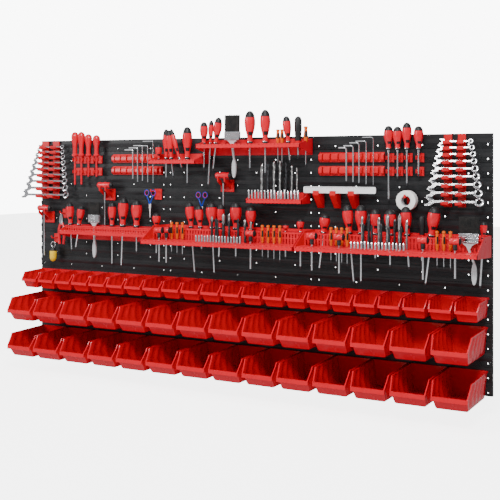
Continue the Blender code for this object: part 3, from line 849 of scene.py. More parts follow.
def key_rail(node):
    low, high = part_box(node)
    bm = bmesh.new()
    block(bm, (low.x, HUNG - PLATE_T, low.z), (high.x, HUNG, high.z), "holder")
    pitch = (high.x - low.x) / (PADS - 1)
    nose = [(HUNG - u * MM, low.z + v * MM) for u, v in ((2, 3), (9, 4), (12.8, 9))]
    nose += [(HUNG - u * MM, high.z - v * MM) for u, v in ((12.8, 10), (9, 4), (2, 3))]
    for i in range(PADS):
        notch = (2 + 0.35 * i) * MM
        x0 = low.x if i == 0 else low.x + (i - 0.5) * pitch + notch
        x1 = high.x if i == PADS - 1 else low.x + (i + 0.5) * pitch - notch
        plate(bm, nose, "x", x0, x1, "holder")
    hook(bm, low.x + 10 * MM, high.x - 10 * MM, high.z, "holder")
    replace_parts(piece(f"dressed_{node}", bm, "root", 0.6 * MM), node)


def rack(node):
    low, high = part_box(node)
    bm = bmesh.new()
    block(bm, (low.x, HUNG - PLATE_T, low.z), (high.x, HUNG, high.z), "holder")
    for i in range(RACK_ROWS):
        z = rack_row(i) - ARM_DOWN
        tip = HUNG - (22 + 20 * i / (RACK_ROWS - 1)) * MM
        arm = [(HUNG - 1 * MM, z - 7 * MM), (HUNG - 1 * MM, z)]
        arm += [(tip + u * MM, z + v * MM) for u, v in FINGERTIP]
        plate(bm, arm, "x", low.x + 1 * MM, high.x - 1 * MM, "holder")
    hook(bm, low.x, high.x, high.z, "holder")
    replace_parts(piece(f"dressed_{node}", bm, "root", 0.5 * MM), node)


for side in ("left", "right"):
    for level in ("upper", "lower"):
        key_rail(f"key_rail_{side}_{level}")
    for place in ("outer", "inner"):
        rack(f"wrench_rack_{side}_{place}")
print("rails and racks dressed: 8")

# %% [markdown]
# ## Hand tools
# Screwdrivers are the most repeated thing here, so they come first. A grip is a turned bar with lobes:
# narrow at the waist for two fingers, widest where the palm pushes, and closed by a black cap.
# One function makes them all, and a style changes only its profile.

# %% Screwdriver
# Each row of a style: the share of the length, the share of the radius, the finish and the lobes' depth.
STYLES = {
    "barrel": [(0, 0.5, "black", 0), (0.05, 0.54, "black", 0), (0.06, 0.52, "chrome", 0),
               (0.075, 0.52, "chrome", 0), (0.085, 0.56, "red", 0), (0.17, 0.5, "red", 0),
               (0.25, 0.56, "red", 0.02), (0.3, 0.64, "patch", 0.03), (0.36, 0.74, "patch", 0.04),
               (0.41, 0.82, "red", 0.06), (0.5, 0.93, "red", 0.09), (0.6, 1.0, "red", 0.1),
               (0.7, 1.0, "red", 0.09), (0.8, 0.92, "red", 0.05), (0.81, 0.9, "black", 0.02),
               (0.89, 0.78, "black", 0), (0.95, 0.58, "black", 0), (0.985, 0.34, "black", 0),
               (1, 0, "black", 0)],
    "insulated": [(0, 0.62, "red", 0), (0.04, 0.82, "red", 0), (0.08, 0.82, "red", 0), (0.12, 0.58, "red", 0),
                  (0.35, 0.58, "red", 0.03), (0.5, 0.7, "red", 0.06), (0.65, 0.97, "red", 0.1),
                  (0.8, 1.05, "red", 0.1), (0.9, 0.92, "red", 0.04), (0.97, 0.55, "red", 0),
                  (1, 0, "red", 0)],
    "mini": [(0, 0.5, "orange", 0), (0.08, 0.75, "orange", 0), (0.3, 0.95, "orange", 0.1),
             (0.34, 1.0, "orange", 0.12), (0.5, 0.95, "inset", 0.14), (0.7, 0.8, "inset", 0.12),
             (0.86, 0.72, "orange", 0.05), (0.88, 0.95, "orange", 0), (0.97, 0.95, "orange", 0),
             (1, 0, "orange", 0)],
    "grip": [(0, 0.6, "red", 0), (0.08, 0.8, "red", 0), (0.1, 0.82, "black", 0.06),
             (0.2, 0.82, "black", 0.08), (0.55, 1.0, "black", 0.12), (0.85, 0.95, "black", 0.1),
             (0.95, 0.7, "black", 0), (1, 0, "black", 0)],
}
LOBES = 6


def driver(name, x, y, top, foot, radius, tip, lean=0.0, style="barrel", body="root", shaft=3.0,
           rod_finish="chrome"):
    """A driver standing on its handle's foot, with its shaft hanging below. Millimetres."""
    base = Vector((x, y, foot)) * MM
    point = Vector((x + lean, y, tip)) * MM
    axis = (base - point).normalized()
    long = (top - foot) * MM / axis.z
    bm = bmesh.new()
    rows = [(share * long, r * radius * MM, finish, lobe) for share, r, finish, lobe in STYLES[style]]
    turned(bm, rows, base, axis, 24, LOBES)
    length = (base - point).length
    thick = shaft * MM
    rows = [(0, thick * 0.2, "dark", 0), (4 * MM, thick * 0.8, "dark", 0), (9 * MM, thick, "dark", 0)]
    rows += [(9.2 * MM, thick, rod_finish, 0), (length - 6 * MM, thick, rod_finish, 0)]
    rows += [(length - 5.5 * MM, thick * 1.5, rod_finish, 0), (length + 2 * MM, thick * 1.5, rod_finish, 0)]
    turned(bm, rows, point, axis, 12)
    return piece(name, bm, body)


print("styles:", ", ".join(STYLES))

# %% [markdown]
# ## Which driver stands where
# Drivers stand in rows along the shelves. Each row below is one driver: where it stands along the wall,
# its top, its radius, its tip and how far the tip leans sideways.

# %% Drivers on the shelves
ON_LEFT = [(-681, 160, 15.4, -23, 6), (-642, 150, 14.2, -13, -16), (-491, 164, 15, -66, 0),
           (-444, 182, 19, -70, -6), (-383, 174, 19.5, -18, 0), (-298, 129, 15, -20, 0)]
ON_MIDDLE = [(-149, 171, 15.7, -77, 15), (-113, 160, 14.6, 4, 7), (-65, 171, 19.4, -74, 8),
             (-35, 165, 13.5, -20, -5), (26, 173, 19.5, -16, 0), (83, 161, 17, -19, 0),
             (211, 105, 9.7, -9, 0)]
ON_RIGHT = [(347, 141, 17, -38, -15), (436, 171, 17, -74, 15), (474, 172, 18.6, -72, 0),
            (521, 161, 16.4, 1, 0), (569, 161, 19, -17, 0), (623, 170, 17, -20, 6),
            (698, 171, 19.4, -66, -19), (852, 131, 10.6, -64, -9)]
ON_HIGH_LEFT = [(-289, 369, 12, 297, 0), (-257, 422, 12.2, 245, 0), (-235, 418, 13.4, 251, 8),
                (-202, 422, 8.6, 280, 12), (-170, 428, 17, 226, 0)]
ON_HIGH = [(-103, 443, 14, 280, 0), (-78, 448, 9.2, 223, -8), (-56, 457, 14, 276, -12),
           (75, 476, 17.9, 278, 0), (217, 455, 13.9, 303, 6)]
HIGH_Y = -62
HIGH_FOOT = 367
RIGHT_Y = -76
RAIL_FOOT = 81
ROWS = {
    "left": (ON_LEFT, -62, 76),
    "middle": (ON_MIDDLE, -70, RAIL_FOOT),
    "right": (ON_RIGHT, RIGHT_Y, RAIL_FOOT),
    "high_left": (ON_HIGH_LEFT, HIGH_Y, 316),
    "high": (ON_HIGH, HIGH_Y, HIGH_FOOT),
}
for label, (row, y, foot) in ROWS.items():
    for i, (x, top, radius, tip, lean) in enumerate(row):
        driver(f"driver_{label}_{i + 1}", x, y, top, foot, radius, tip, lean)
driver("driver_grip_low", 669, RIGHT_Y, 144, RAIL_FOOT, 9.3, 0, style="grip")
driver("driver_grip_high", 252, HIGH_Y, 454, HIGH_FOOT, 12.2, 319, style="grip")
driver("driver_right_first", 267, RIGHT_Y, 123, RAIL_FOOT, 12, -37)
low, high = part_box("tall_screwdriver")
middle, top, tip = (value / MM for value in ((low.x + high.x) / 2, high.z, low.z))
tall = driver("driver_tall", middle, HIGH_Y, top, 366.3, 17, tip, body="tall_screwdriver")
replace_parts(tall, "tall_screwdriver")
print("drivers on shelves:", sum(len(row) for row, _, _ in ROWS.values()) + 4)

# %% [markdown]
# ## Small drivers and clips
# Little orange drivers stand in the front holes of the shelves. Two more rows hang by clips straight on
# the wall, and each driver there goes through a high clip and a low one.

# %% Small drivers and the two clip rows
MINIS = {"middle": (-203, 22, 3), "mid_right": (147, 21, 4), "right": (388, 18, 4), "far_right": (726, 20, 3)}
for label, (start, pitch, count) in MINIS.items():
    for i in range(count):
        driver(f"mini_{label}_{i + 1}", start + pitch * i, -110, 103, 44, 5.6, -8 - 3 * i, style="mini",
               shaft=1.4)
for i, (x, top, radius, tip, shaft) in enumerate([(179, 413, 6.6, 296, 1.5), (194, 413, 6.6, 296, 1.5),
                                                  (279, 421, 7.2, 290, 1.6)]):
    driver(f"mini_high_{i + 1}", x, HIGH_Y, top, HIGH_FOOT, radius, tip, style="mini", shaft=shaft)
CLIP_Y = -38
CLIP_R = 6.5 * MM
# Each clipped driver: its place along the wall, its top and its tip.
CLIP_LEFT = [(-680, 421, 216), (-650, 421, 217), (-617, 412, 246), (-580, 408, 246)]
CLIP_RIGHT = [(550, 417, 182), (579, 414, 252), (609, 426, 231), (646, 414, 259)]


def clip(name, x, z, y):
    """A plate on the wall with an open C that grips a shaft or handle."""
    bm = bmesh.new()
    mount = rectangle(x - 11 * MM, x + 11 * MM, z - 14 * MM, z + 14 * MM)
    plate(bm, mount, "y", HUNG - 2.5 * MM, HUNG, "holder")
    around = [math.radians(50 + 260 * k / 14) for k in range(15)]
    arc = [(x + CLIP_R * math.sin(a), y - CLIP_R * math.cos(a)) for a in around]
    outer = [(x + (u - x) * 1.4, y + (v - y) * 1.4) for u, v in arc]
    plate(bm, arc + outer[::-1], "z", z - 6 * MM, z + 6 * MM, "holder")
    piece(name, bm, "root", 0.5 * MM)


for i, (x, top, tip) in enumerate(CLIP_LEFT):
    driver(f"insulated_{i + 1}", x, CLIP_Y, top, 329, 13.5, tip, style="insulated", shaft=3.6,
           rod_finish="red")
    for level, z in (("high", 317), ("low", 273)):
        clip(f"clip_left_{level}_{i + 1}", x * MM, z * MM, CLIP_Y * MM)
for i, (x, top, tip) in enumerate(CLIP_RIGHT):
    driver(f"clipped_{i + 1}", x, CLIP_Y, top, 342, 15, tip)
    for level, z in (("high", 318), ("low", 276)):
        clip(f"clip_right_{level}_{i + 1}", x * MM, z * MM, CLIP_Y * MM)
print("clipped drivers:", len(CLIP_LEFT) + len(CLIP_RIGHT))

# %% [markdown]
# ## Wrenches
# A combination wrench is forged from one bar, with an open jaw at one end and a ring at the other. Its
# outline is drawn flat, pulled to its thickness, and the ring is a turned band. Nine hang in each pair of
# racks, each a little longer than the one above.


# %% Wrench
WRENCH_LEAN = math.radians(28)
RING_SIDES = 24
BITE = 0.93


def wrench(name, left, right, z, y, size, body="root", lean=0.0):
    """left is the jaw's tip and right the far side of the ring, in metres along the wall."""
    head = size * 1.15
    bar = size * 0.42
    thick = size * 0.2
    bm = bmesh.new()
    jaw = [(1.9, bar * 0.7), (1.5, 0.85 * head), (0.5, head), (0, 0.8 * head), (0.7, 0.42 * head),
           (0.95, 0.1 * head), (0.85, -0.35 * head), (0.12, -0.55 * head), (0.4, -0.92 * head),
           (1.4, -0.8 * head), (1.95, -bar * 0.7)]
    neck = right - 1.5 * head
    outline = [(left + t * head, z) for t, z in jaw] + [(neck, -bar * 0.55), (neck, bar * 0.55)]
    plate(bm, outline, "y", -thick, thick, "chrome")
    rows = [(-1.15, 0.75), (-0.9, 0.85), (0.9, 0.85), (1.15, 0.75), (1.15, 0.5), (-1.15, 0.5)]
    rings = []
    for along, share in rows:
        ring = []
        for k, a in enumerate(turns(RING_SIDES)):
            reach = share * head * (BITE if share < 0.6 and k % 2 else 1)
            spot = (right - 0.85 * head + reach * math.cos(a), along * thick, reach * math.sin(a))
            ring.append(bm.verts.new(spot))
        rings.append(ring)
    skin(bm, rings + [rings[0]], "chrome", capped=False)
    made = to_mesh(name, bm)
    made.transform(Matrix.Translation((0, y, z)) @ Matrix.Rotation(-lean, 4, "X"))
    return piece(name, made, body, 0.4 * MM)


for i in range(RACK_ROWS):
    size = (8.6 + 0.75 * i) * MM
    out = (-29 - 1.4 * i) * MM
    z = rack_row(i) - ARM_DOWN + 0.45 * size
    if i < RACK_ROWS - 1:
        ends = ((-868 - 8 * i) * MM, (-740 + 4 * i) * MM)
        wrench(f"wrench_left_{i + 1}", *ends, z, out, size, lean=WRENCH_LEAN)
    ends = ((707 - 5.4 * i) * MM, (812 + 4.3 * i) * MM)
    wrench(f"wrench_right_{i + 1}", *ends, z, out, size, lean=WRENCH_LEAN)
low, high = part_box("long_wrench")
centre = (low + high) / 2
long_one = wrench("wrench_left_9", low.x, high.x, centre.z, centre.y, 13.5 * MM, "long_wrench", WRENCH_LEAN)
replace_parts(long_one, "long_wrench")
print("wrenches:", 2 * RACK_ROWS)

# %% [markdown]
# ## Hex keys, drills and bits
# A hex key is one six-sided rod with an eased bend. A drill is built ring by ring up its length, each ring
# notched on two sides, and turning every ring a little further than the last makes the twist.

# %% Keys, drills and bits
KEY_Y = -33
# Each key: the upright's place, its top, the short arm's end, the bottom and the radius.
KEYS = {
    "left": [(-420, 352, -455, 248, 2.6), (-399, 359, -437, 237, 2.3), (-378, 367, -417, 241, 2.0),
             (-355, 366, -395, 236, 1.7), (-332, 382, -376, 233, 1.5)],
    "right": [(407, 351, 381, 245, 2.6), (430, 357, 398, 242, 2.3), (450, 366, 418, 239, 2.0),
              (474, 371, 439, 236, 1.7), (498, 383, 462, 233, 1.5)],
}
for side, row in KEYS.items():
    for i, (x, top, end, bottom, radius) in enumerate(row):
        path = [Vector(spot) * MM for spot in ((end, KEY_Y, top), (x, KEY_Y, top), (x, KEY_Y, bottom))]
        bm = bmesh.new()
        rod(bm, rounded(path, 9 * MM), radius * MM, "chrome", 6)
        piece(f"hex_key_{side}_{i + 1}", bm, "root")
SHANK = 0.35
FLUTE_STEPS = 28
TWIST = 5.5
POINT_LONG = 1.2


def drill(name, x, y, top, foot, radius, finish):
    """A twist drill standing on its shank: a plain shank below and a twisted flute above."""
    bm = bmesh.new()
    rings = []
    shank = foot + SHANK * (top - foot)
    heights = [foot, shank] + [shank + (top - shank) * k / FLUTE_STEPS for k in range(1, FLUTE_STEPS + 1)]
    for n, z in enumerate(heights):
        turn = 0 if n < 2 else (z - shank) / (radius * TWIST)
        taper = POINT_LONG * radius
        narrow = 1 if z < top - taper else max(0.05, (top - z) / taper)
        ring = []
        for a in turns(12):
            cut = 1 if n < 2 else 1 - 0.5 * max(0, math.cos(2 * a)) ** 2
            reach = radius * narrow * cut
            ring.append(bm.verts.new((x + reach * math.cos(a + turn), y + reach * math.sin(a + turn), z)))
        rings.append(ring)
    skin(bm, rings, finish)
    piece(name, bm, "root")


DECK = 44
DRILL_DECK = 186
# Each row: its depth, its foot, and each drill's place, top and radius.
DRILLS = {
    "drill_rack": (-50, DRILL_DECK, [(114, 300, 5), (136, 306, 4.6), (159, 310, 4.2), (181, 312, 3.8),
                                     (203, 305, 3.4), (224, 296, 3), (242, 288, 2.6)]),
    "drill_dark": (-36, DRILL_DECK, [(125, 262, 3.4), (147, 270, 3.2), (169, 266, 3), (190, 258, 2.8),
                                     (212, 262, 2.6)]),
    "middle_dark": (-128, DECK, [(-33, 112, 4), (-10, 118, 3.6), (12, 108, 5), (34, 116, 4), (68, 110, 4),
                                 (94, 104, 3.4)]),
    "right_dark": (-130, DECK, [(503, 120, 4), (530, 116, 3.6), (560, 122, 4.4), (585, 112, 3.6),
                                (622, 116, 4)]),
    "middle": (-110, DECK, [(-42, 127, 4), (-27, 120, 4.6), (2, 136, 6), (23, 135, 4), (57, 122, 4.6),
                            (83, 120, 4), (105, 114, 3.6)]),
    "right": (-112, DECK, [(492, 140, 4), (514, 146, 5), (546, 138, 4.4), (574, 148, 6), (596, 133, 4),
                           (612, 149, 5.5), (634, 131, 4)]),
}
for label, (y, foot, row) in DRILLS.items():
    for i, (x, top, radius) in enumerate(row):
        finish = "dark" if i % 3 == 1 or "dark" in label else "steel"
        drill(f"twist_drill_{label}_{i + 1}", x * MM, y * MM, top * MM, foot * MM, radius * MM, finish)
BIT_COUNT = 16
# Each row of bits: the first one's place, the pitch, the depth, the foot and the top.
BITS = {"drill_rack": (80, 12, -78, DRILL_DECK, 214), "middle": (-70, 11, -165, DECK, 66),
        "right": (478, 11, -165, DECK, 66)}
for label, (start, pitch, y, foot, top) in BITS.items():
    for i in range(BIT_COUNT):
        bm = bmesh.new()
        tall_bit = top + chance.uniform(-2, 2)
        ends = [Vector((start + pitch * i, y, z)) * MM for z in (foot, tall_bit - 5, tall_bit)]
        rod(bm, ends, [3.2 * MM, 3.2 * MM, 1.8 * MM], "chrome", 6)
        piece(f"hex_bit_{label}_{i + 1:02d}", bm, "root", 0.2 * MM)
print("drills:", sum(len(row) for _, _, row in DRILLS.values()), "bits:", BIT_COUNT * len(BITS))

# %% [markdown]
# ## Brushes
# A flat brush hangs bristles up, with a chrome ferrule below and a slim handle through the shelf. The
# bristles are separate tapered strands in four rows, because a smooth block would never read as hair.


# %% Brush
HAIR_ROWS = 4
HAIRS = 34
FERRULE = 24 * MM


def brush(name, x0, x1, y, top, ferrule, grip_x, grip_low):
    """Millimetres: the bristles run from x0 to x1, and the grip ends at grip_x, grip_low."""
    x0, x1, y, top, ferrule, grip_x, grip_low = (v * MM for v in (x0, x1, y, top, ferrule, grip_x, grip_low))
    bm = bmesh.new()
    middle = (x0 + x1) / 2
    for row in range(HAIR_ROWS):
        for k in range(HAIRS):
            share = (k + 0.5) / HAIRS
            x = x0 + (x1 - x0) * share + chance.uniform(-0.5, 0.5) * MM
            yy = y + (row - 1.5) * 2.2 * MM
            end = top - chance.uniform(0, 3) * MM
            lean = (share - 0.5) * 3 * MM
            rod(bm, [(x, yy, ferrule), (x + lean, yy, end)], [1.1 * MM, 0.6 * MM], "bristle", 5)
    low = ferrule - FERRULE
    band = rectangle(x0 - 1 * MM, x1 + 1 * MM, low, ferrule + 4 * MM)
    plate(bm, band, "y", y - 6 * MM, y + 6 * MM, "chrome")
    for z in (ferrule, ferrule - 5 * MM, ferrule - 10 * MM, low + 4 * MM):
        bead = rectangle(x0 - 1.6 * MM, x1 + 1.6 * MM, z - 1.6 * MM, z)
        plate(bm, bead, "y", y - 6.6 * MM, y + 6.6 * MM, "chrome")
    slim = 3.4 * MM
    wide = 7.6 * MM
    oval = min(32 * MM, (low - grip_low) * 0.5)
    neck = [(x0 + 5 * MM, low), (x1 - 5 * MM, low), (middle + 9 * MM, low - 8 * MM)]
    neck.append((middle + slim, low - 20 * MM))
    around = [math.radians(70 - 320 * k / 16) for k in range(17)]
    neck += [(grip_x + wide * math.cos(a), grip_low + oval + oval * math.sin(a)) for a in around]
    neck += [(middle - slim, low - 20 * MM), (middle - 9 * MM, low - 8 * MM)]
    plate(bm, neck, "y", y - slim, y + slim, "grey")
    piece(name, bm, "root", 0.5 * MM)


brush("brush_left", -594, -548, -62, 162, 112, -570, -41)
brush("brush_high", -19, 35, HIGH_Y, 465, 404, 15, 253)
brush("brush_right", 794, 848, -112, 147, 94, 836, -51)
print("brushes: 3")

# %% [markdown]
# ## T-handles and their forks
# A T-handle driver lies across a forked bracket with its shaft between the tines. Seven shorter ones
# stand along the fronts of the shelves.


# %% T-handle on its fork
# The grip, across a half length of GRIP_HALF: distance, radius, finish and lobe depth.
GRIP_HALF = 32
T_GRIP = [(0, 5, "black", 0), (4, 9, "black", 0), (8, 11, "red", 0), (20, 9.5, "red", 0.05),
          (32, 12, "red", 0.05), (44, 9.5, "red", 0.05), (56, 11, "red", 0), (60, 9, "black", 0),
          (64, 5, "black", 0)]
ON_FORKS = [(-821, 135, -44, 32), (-535, 224, 78, 34), (-36, 261, 90, 32)]
FORK_Y = -46
ON_SHELVES = [(-227, -150), (-206, -138), (120, -140), (341, -150), (432, -150), (696, -150), (791, -150)]


def t_handle(name, x, y, z, tip, half):
    bm = bmesh.new()
    scale = half / GRIP_HALF
    rows = [(a * scale * MM, r * MM, finish, lobe) for a, r, finish, lobe in T_GRIP]
    turned(bm, rows, Vector((x - half, y, z)) * MM, (1, 0, 0), 20, LOBES)
    long = z - tip
    rows = [(0, 3, "dark"), (8, 3, "chrome"), (long - 26, 3, "chrome"), (long - 25, 6, "black")]
    rows.append((long - 6, 7, "black"))
    rows = [(a * MM, r * MM, finish, 0) for a, r, finish in rows]
    turned(bm, rows, Vector((x, y, tip)) * MM, (0, 0, 1), 14)
    piece(name, bm, "root")


def fork(name, x, y, z):
    """Two tines on a plate, under a grip at the height z."""
    holder = bmesh.new()
    tine = [(y - 10, z - 12), (y - 15, z - 4), (y - 18, z - 6), (y - 16, z - 20)]
    root = [(HUNG, (z - 50) * MM), (HUNG, (z - 22) * MM), (HUNG - 8 * MM, (z - 20) * MM)]
    arm = root + [(u * MM, v * MM) for u, v in tine] + [(HUNG - 14 * MM, (z - 40) * MM)]
    for sign in (-1, 1):
        cx = (x + sign * 13) * MM
        plate(holder, arm, "x", cx - 2.5 * MM, cx + 2.5 * MM, "holder")
    foot = ((x - 26) * MM, HUNG - 3 * MM, (z - 56) * MM)
    block(holder, foot, ((x + 26) * MM, HUNG, (z - 14) * MM), "holder")
    piece(name, holder, "root", 0.6 * MM)


for i, (x, z, tip, half) in enumerate(ON_FORKS):
    t_handle(f"t_handle_{i + 1}", x, FORK_Y, z, tip, half)
    fork(f"t_handle_{i + 1}_fork", x, FORK_Y, z)
for i, (x, y) in enumerate(ON_SHELVES):
    t_handle(f"t_handle_shelf_{i + 1}", x, y, 76, -30 - 4 * (i % 3), 18)
print("T-handles:", len(ON_FORKS) + len(ON_SHELVES))

# %% [markdown]
# ## Scissors
# A pair of scissors is two halves on one pivot, so each half is its own piece, and on the first pair the
# moving half rides on its own body. One function makes both halves, mirrored by its side.

# %% Scissors
PIVOT = Vector((-0.3455, -0.033, 0.157))
SECOND = Vector((-0.130, -0.033, 0.152))
APART = 1.2 * MM


def scissors_half(name, pivot, side, body="root"):
    """side is 1 for the half with its ring on the right, which lies nearer to the wall."""
    y = pivot.y + side * APART
    bm = bmesh.new()
    ring = Vector((pivot.x + side * 13 * MM, y, pivot.z + 41 * MM))
    rod(bm, loop(ring, 9.2 * MM, 24, 1.15), 1.5 * MM, "blue", 8)
    rod(bm, loop(ring, 7.4 * MM, 24, 1.15), 0.8 * MM, "red", 6)
    path = [(ring.x, y, ring.z - 10 * MM), (pivot.x + side * 5 * MM, y, pivot.z + 14 * MM)]
    path.append((pivot.x, y, pivot.z))
    rod(bm, path, [1.8 * MM, 2.2 * MM, 2.4 * MM], "blue", 8)
    blade = [(-4, 2), (4, 2), (3.4, -10), (-side * 2, -48), (-3.4, -10)]
    blade = [(pivot.x + u * MM, pivot.z + v * MM) for u, v in blade]
    plate(bm, blade, "y", y - 0.7 * MM, y + 0.7 * MM, "alloy")
    return piece(name, bm, body, 0.2 * MM)


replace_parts(scissors_half("scissors_still_half", PIVOT, 1), "scissors_fixed_half")
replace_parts(scissors_half("scissors_turning_half", PIVOT, -1, "scissors_moving_half"), "scissors_moving_half")
scissors_half("scissors_second_a", SECOND, 1)
scissors_half("scissors_second_b", SECOND, -1)
print("scissors: 2 pairs")

# %% [markdown]
# ## Ruler and tape
# The ruler is a plate with round corners, and its marks are thin blocks that stand just proud of it, with
# a longer one at every fifth and tenth. The tape is one closed profile turned about its core, stepped a
# little from layer to layer, so that its side shows how it was wound.

# %% Ruler and tape
RULER_CORNER = 5 * MM
TICKS = 120
low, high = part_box("ruler")
right, left = high.x - RULER_CORNER, low.x + RULER_CORNER
upper, lower = high.z - RULER_CORNER, low.z + RULER_CORNER
outline = []
for cx, cz, start in ((right, upper, 0), (left, upper, 90), (left, lower, 180), (right, lower, 270)):
    corner = [math.radians(start + 22.5 * k) for k in range(5)]
    outline += [(cx + RULER_CORNER * math.cos(a), cz + RULER_CORNER * math.sin(a)) for a in corner]
bm = bmesh.new()
plate(bm, outline, "y", low.y + 0.4 * MM, high.y, "alloy")
edge = high.z - 1 * MM
for i in range(TICKS):
    x = low.x + 6 * MM + i * (high.x - low.x - 24 * MM) / TICKS
    tall = (6 if i % 10 == 0 else 4.4 if i % 5 == 0 else 3) * MM
    block(bm, (x, low.y + 0.15 * MM, edge - tall), (x + 0.35 * MM, low.y + 0.6 * MM, edge), "black")
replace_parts(piece("ruler_marked", bm, "ruler"), "ruler")

TAPE_CORE = 14.5 * MM
CARD = 2 * MM
LAYERS = 9
STEP = 0.25 * MM
low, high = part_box("tape_roll")
centre = (low + high) / 2
outer = (high.x - low.x) / 2
profile = [(0, TAPE_CORE), (0, TAPE_CORE + CARD)]
for k in range(LAYERS):
    r = TAPE_CORE + CARD + (outer - TAPE_CORE - CARD) * (k + 1) / LAYERS
    profile += [(STEP * (k % 2), r - 0.3 * MM), (STEP * ((k + 1) % 2), r)]
profile += [(high.y - low.y, outer), (high.y - low.y, TAPE_CORE)]
bm = bmesh.new()
rings = []
for along, r in profile:
    spots = [(centre.x + r * math.cos(a), low.y + along, centre.z + r * math.sin(a)) for a in turns(40)]
    rings.append([bm.verts.new(spot) for spot in spots])
skin(bm, rings + [rings[0]], ["grey"] + ["white"] * (len(profile) - 2) + ["grey"], capped=False)
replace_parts(piece("tape_wound", bm, "tape_roll"), "tape_roll")
print("ruler ticks:", TICKS, "tape layers:", LAYERS)

# %% [markdown]
# ## Pliers and knife
# At the far left hang a pair of pliers with black and red grips and a yellow snap-off knife.

# %% Pliers, knife and their hooks
PLIERS_X = -742
KNIFE_X = -783
TOOL_Y = -40
bm = bmesh.new()
for sign in (-1, 1):
    path = [(3, 80), (12, 60), (13, 30), (9, 1)]
    path = [Vector((PLIERS_X + sign * u, TOOL_Y, v)) * MM for u, v in path]
    rod(bm, rounded(path, 8 * MM), 5 * MM, "red", 10)
    jaw = [(0, 74), (9, 84), (7, 104), (1, 118), (0.5, 86)]
    jaw = [((PLIERS_X + sign * u) * MM, v * MM) for u, v in jaw]
    plate(bm, jaw, "y", (TOOL_Y - 4) * MM, (TOOL_Y + 4) * MM, "chrome")
rivet = [(0, 6 * MM, "chrome", 0), (10 * MM, 6 * MM, "chrome", 0)]
turned(bm, rivet, Vector((PLIERS_X, TOOL_Y - 5, 82)) * MM, (0, 1, 0), 16)
piece("pliers", bm, "root", 0.4 * MM)
bm = bmesh.new()
handle = [(0, 4, "black"), (4, 9, "yellow"), (14, 13, "yellow"), (40, 13, "yellow"), (54, 6, "black")]
handle = [(a * MM, r * MM, finish, 0) for a, r, finish in handle]
turned(bm, handle, Vector((KNIFE_X, TOOL_Y, -66)) * MM, (0, 0, 1), 14)
rod(bm, loop(Vector((KNIFE_X, TOOL_Y, -2)) * MM, 10 * MM), 1.5 * MM, "chrome")
piece("snap_knife", bm, "root", 0.3 * MM)
for name, x, z in (("pliers_hook", PLIERS_X, 116), ("knife_hook", KNIFE_X, 22)):
    bm = bmesh.new()
    foot = ((x - 13) * MM, HUNG - 2.5 * MM, (z - 18) * MM)
    block(bm, foot, ((x + 13) * MM, HUNG, (z + 16) * MM), "holder")
    path = [(x * MM, HUNG - 2 * MM, z * MM), (x * MM, -46 * MM, z * MM), (x * MM, -50 * MM, (z + 9) * MM)]
    rod(bm, rounded(path, 4 * MM), 2.6 * MM, "holder", 10)
    piece(name, bm, "root", 0.5 * MM)
print("pliers and knife hung")

# %% [markdown]
# ## Nodes that keep their own shape
# Brackets and the two prongs already have their final form. They only take the holder's finish.

# %% Finish the kept nodes
KEPT = ["ruler_bracket_left", "ruler_bracket_middle", "ruler_bracket_right", "tape_hook", "scissors_hook"]
for node in KEPT:
    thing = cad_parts[node]
    for socket in thing.material_slots:
        socket.material = FINISH["holder"]
print("kept nodes refinished:", len(KEPT))

# %% [markdown]
# ## Floor and light
# The wall is shown on plain white. A wide pale floor lies well below it, a large soft key stands to the
# right and above, a dim fill on the left opens the shadows between the bins, and a small rim light hangs
# above. The sky is brighter to the camera than to the object, so the surround is white and the reds deep.

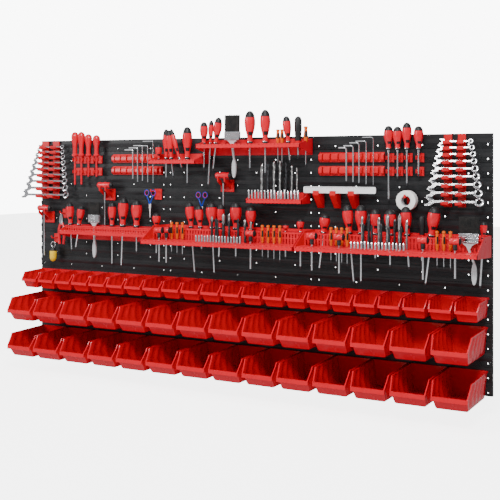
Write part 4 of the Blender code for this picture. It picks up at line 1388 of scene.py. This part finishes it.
# %% Floor, lights and world
FLOOR_GLOW = 4.5
FLOOR_HALF = 9
FLOOR_DROP = 0.06
FLOOR_GREY = (0.7, 0.7, 0.7, 1)
SKY_SEEN = 9.0
SKY_LIT = 0.42
SKY_TINT = (0.95, 0.97, 1, 1)
floor_z = cad_box[0][2] - FLOOR_DROP
bm = bmesh.new()
corners = rectangle(-FLOOR_HALF, FLOOR_HALF, -FLOOR_HALF, FLOOR_HALF)
bm.faces.new([bm.verts.new((x, y, floor_z)) for x, y in corners])
floor_mesh = bpy.data.meshes.new("floor")
bm.to_mesh(floor_mesh)
bm.free()
floor = stand("floor", floor_mesh)
pale = bpy.data.materials.new("floor_pale")
pale.use_nodes = True
surface = pale.node_tree.nodes["Principled BSDF"].inputs
surface["Base Color"].default_value = FLOOR_GREY
surface["Roughness"].default_value = 0.8
surface["Emission Color"].default_value = WHITE
ray = pale.node_tree.nodes.new("ShaderNodeLightPath")
lift = combine(pale.node_tree, "MULTIPLY", ray.outputs["Is Camera Ray"], FLOOR_GLOW)
pale.node_tree.links.new(lift, surface["Emission Strength"])
floor_mesh.materials.append(pale)


def area_light(name, place, size, power):
    data = bpy.data.lights.new(name, "AREA")
    data.shape = "DISK"
    data.size = size
    data.energy = power
    lamp = stand(name, data)
    lamp.location = place
    lamp.rotation_euler = (-Vector(place)).to_track_quat("-Z", "Y").to_euler()


area_light("key", (1.5, -3.0, 2.6), 0.9, 158)
area_light("fill", (-2.6, -2.4, 1.2), 1.2, 64)
area_light("rim", (0.2, -0.9, 2.2), 0.8, 28)
world = bpy.data.worlds.new("studio")
world.use_nodes = True
bpy.context.scene.world = world
tree = world.node_tree
tree.nodes.clear()
skies = []
for colour, strength in ((WHITE, SKY_SEEN), (SKY_TINT, SKY_LIT)):
    sky = tree.nodes.new("ShaderNodeBackground")
    sky.inputs["Color"].default_value = colour
    sky.inputs["Strength"].default_value = strength
    skies.append(sky)
seen, lit = skies
path = tree.nodes.new("ShaderNodeLightPath")
mix = tree.nodes.new("ShaderNodeMixShader")
out = tree.nodes.new("ShaderNodeOutputWorld")
tree.links.new(path.outputs["Is Camera Ray"], mix.inputs[0])
tree.links.new(lit.outputs[0], mix.inputs[1])
tree.links.new(seen.outputs[0], mix.inputs[2])
tree.links.new(mix.outputs[0], out.inputs[0])
print("floor at", round(floor_z, 3))

# %% [markdown]
# ## Bring the scene up to date
# The view layer is updated once more at the end.

# %% Finish
bpy.context.view_layer.update()
